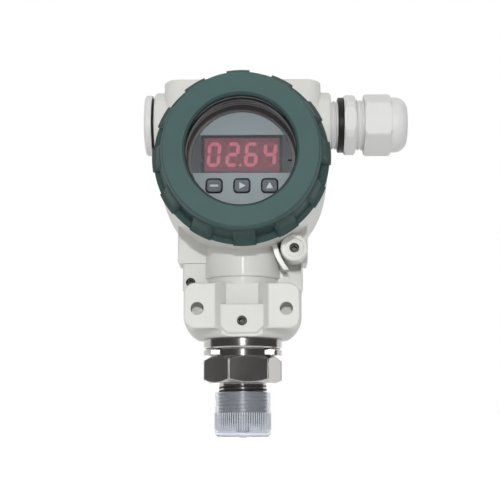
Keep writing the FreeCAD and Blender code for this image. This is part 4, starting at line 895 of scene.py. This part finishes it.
class TRANSMITTER_OT_stage(bpy.types.Operator):
    """Camera, lamps, surroundings, white floor, and the cards that the steel reflects"""
    bl_idname = "transmitter.stage"
    bl_label = "Studio"
    bl_options = {"REGISTER", "UNDO"}

    def execute(self, context):
        studio = context.scene.transmitter.studio
        context.scene.view_settings.view_transform = "Standard"
        self.camera(studio)
        key = self.lamp("Key lamp", Vector((-0.15, -0.85, 0.8)), size=0.6, power=studio.key)
        key.visible_glossy = False
        over_camera = Vector(studio.camera_place) + Vector((0, 0, 0.145))
        flash = self.lamp("Flash", over_camera, size=0.02, power=studio.flash)
        self.spare(flash, NODES["window_glass"])
        self.surroundings(studio)
        self.floor()
        self.dark_card()
        self.bright_strip()
        return {"FINISHED"}

    def camera(self, studio):
        """Camera low in front of the window, tilted up."""
        data = bpy.data.cameras.new("Camera")
        data.lens = studio.lens
        data.sensor_width = 36
        data.shift_y = studio.rise
        data.clip_start = 0.01
        camera = bpy.data.objects.new("Camera", data)
        camera.location = studio.camera_place
        camera.rotation_euler = (math.pi / 2 + studio.pitch, 0, -studio.yaw)
        bpy.context.scene.collection.objects.link(camera)
        bpy.context.scene.camera = camera

    def lamp(self, name, place, size, power):
        """Square lamp that faces the middle of the transmitter."""
        middle = Vector((0, 0, 0.055))
        data = bpy.data.lights.new(name, "AREA")
        data.size = size
        data.energy = power
        lamp = bpy.data.objects.new(name, data)
        lamp.location = place
        lamp.rotation_euler = (place - middle).to_track_quat("Z", "Y").to_euler()
        bpy.context.scene.collection.objects.link(lamp)
        return lamp

    def spare(self, lamp, piece):
        """Keeps a lamp's square reflection off one piece."""
        spared = bpy.data.collections.new("Spared by the " + lamp.name.lower())
        spared.objects.link(piece)
        spared.collection_objects[0].light_linking.link_state = "EXCLUDE"
        lamp.light_linking.receiver_collection = spared

    def surroundings(self, studio):
        """World that is seen and reflected white, and lights more softly."""
        world = bpy.data.worlds.new("Surroundings")
        bpy.context.scene.world = world
        world.use_nodes = True
        tree = world.node_tree
        background = tree.nodes["Background"]
        seen = self.seen(tree)
        background.inputs["Color"].default_value = (1, 1, 1, 1)
        tree.links.new(ramp(tree, seen, 0, 1, studio.sky, 1.0), background.inputs["Strength"])

    def seen(self, tree):
        """One where a ray comes from the camera, a reflection or a clear piece, and zero elsewhere."""
        path = node(tree, "LightPath").outputs
        direct = math_node(tree, "MAXIMUM", path["Is Camera Ray"], path["Is Glossy Ray"])
        return math_node(tree, "MAXIMUM", direct, path["Is Transmission Ray"])

    def sheet(self, name, faces, material):
        """Stage piece of flat faces, each through its corners."""
        mesh = bmesh.new()
        for corners in faces:
            mesh.faces.new([mesh.verts.new(corner) for corner in corners])
        data = bpy.data.meshes.new(name)
        mesh.to_mesh(data)
        mesh.free()
        data.materials.append(material)
        made = bpy.data.objects.new(name, data)
        bpy.context.scene.collection.objects.link(made)
        return made

    def floor(self):
        """White floor that keeps the shadow round the object and runs out into the white surroundings."""
        material, tree, surface = blank_material("White floor")
        set_surface(surface, Base_Color=(0.9, 0.9, 0.9, 1), Roughness=0.9, Specular_IOR_Level=0.0)
        place = node(tree, "TexCoord").outputs["Object"]
        distance = node(tree, "VectorMath", {0: place}, operation="LENGTH").outputs["Value"]
        near, far, dim = 0.06, 0.3, 0.5
        surface.inputs["Emission Color"].default_value = (1, 1, 1, 1)
        glow = math_node(tree, "MULTIPLY", self.seen(tree), ramp(tree, distance, near, far, dim, 1.0))
        tree.links.new(glow, surface.inputs["Emission Strength"])
        reach, level = 3.0, FLOOR_Z - 0.05 * MM
        corners = [(x * reach, y * reach, level) for x, y in ((-1, -1), (1, -1), (1, 1), (-1, 1))]
        self.sheet("floor", [corners], material)

    def dark_card(self):
        """Dark curved card round the front and the sides, which only polished surfaces see."""
        material, _, surface = blank_material("Dark card")
        set_surface(surface, Base_Color=(0.155, 0.153, 0.15, 1), Roughness=1.0, Specular_IOR_Level=0.0)
        steps, left, right = 20, math.radians(-107), math.radians(120)
        foot, wall, top = 0.07, 1.5, 1.6
        rings = []
        for reach, level in ((foot, FLOOR_Z + 1 * MM), (wall, FLOOR_Z + 2 * MM), (wall, top)):
            rings.append([(reach * math.sin(a), -reach * math.cos(a), level)
                          for a in (left + (right - left) * k / steps for k in range(steps + 1))])
        faces = [(inner[k], inner[k + 1], outer[k + 1], outer[k])
                 for inner, outer in zip(rings, rings[1:]) for k in range(steps)]
        card = self.sheet("dark_card", faces, material)
        card.visible_camera = card.visible_diffuse = card.visible_shadow = False

    def bright_strip(self):
        """Low upright strip in front of the dark card; its reflection runs down the round steel and the cap."""
        material, _, surface = blank_material("Bright strip")
        set_surface(surface, Base_Color=(0, 0, 0, 1), Specular_IOR_Level=0.0, Emission_Color=(1, 1, 1, 1),
                    Emission_Strength=1.7)
        half_width, distance, low, high = 0.11, 1.4, FLOOR_Z + 4 * MM, 0.26
        corners = [(side * half_width, -distance, level)
                   for side, level in ((-1, low), (1, low), (1, high), (-1, high))]
        strip = self.sheet("bright_strip", [corners], material)
        strip.visible_camera = strip.visible_diffuse = strip.visible_shadow = False


OPERATORS = (TRANSMITTER_OT_stage, TRANSMITTER_OT_housing_finish, TRANSMITTER_OT_cover_finish,
             TRANSMITTER_OT_gland_finish, TRANSMITTER_OT_steel_finish, TRANSMITTER_OT_window_finish,
             TRANSMITTER_OT_indicator_finish, TRANSMITTER_OT_cap_finish, TRANSMITTER_OT_threads,
             TRANSMITTER_OT_digits, TRANSMITTER_OT_key_symbols, TRANSMITTER_OT_bezel_details)


class TRANSMITTER_PT_sidebar(bpy.types.Panel):
    """Lists the settings and the steps that finish the transmitter"""
    bl_idname = "TRANSMITTER_PT_sidebar"
    bl_label = "Transmitter"
    bl_space_type = "VIEW_3D"
    bl_region_type = "UI"
    bl_category = "Transmitter"

    def draw(self, context):
        for group in ("colours", "threads", "digits", "studio"):
            box = self.layout.box()
            sizes = getattr(context.scene.transmitter, group)
            for name in sizes.__annotations__:
                box.prop(sizes, name)
        for operator in OPERATORS:
            self.layout.operator(operator.bl_idname)


CLASSES = (FinishColours, ThreadSizes, DigitSizes, StudioSettings, TransmitterSettings, *OPERATORS,
           TRANSMITTER_PT_sidebar)


def register():
    for cls in CLASSES:
        bpy.utils.register_class(cls)
    bpy.types.Scene.transmitter = bpy.props.PointerProperty(type=TransmitterSettings)


def unregister():
    del bpy.types.Scene.transmitter
    for cls in reversed(CLASSES):
        bpy.utils.unregister_class(cls)


def main():
    register()
    for operator in OPERATORS:
        group, name = operator.bl_idname.split(".")
        getattr(getattr(bpy.ops, group), name)()


if __name__ == "__main__":
    main()
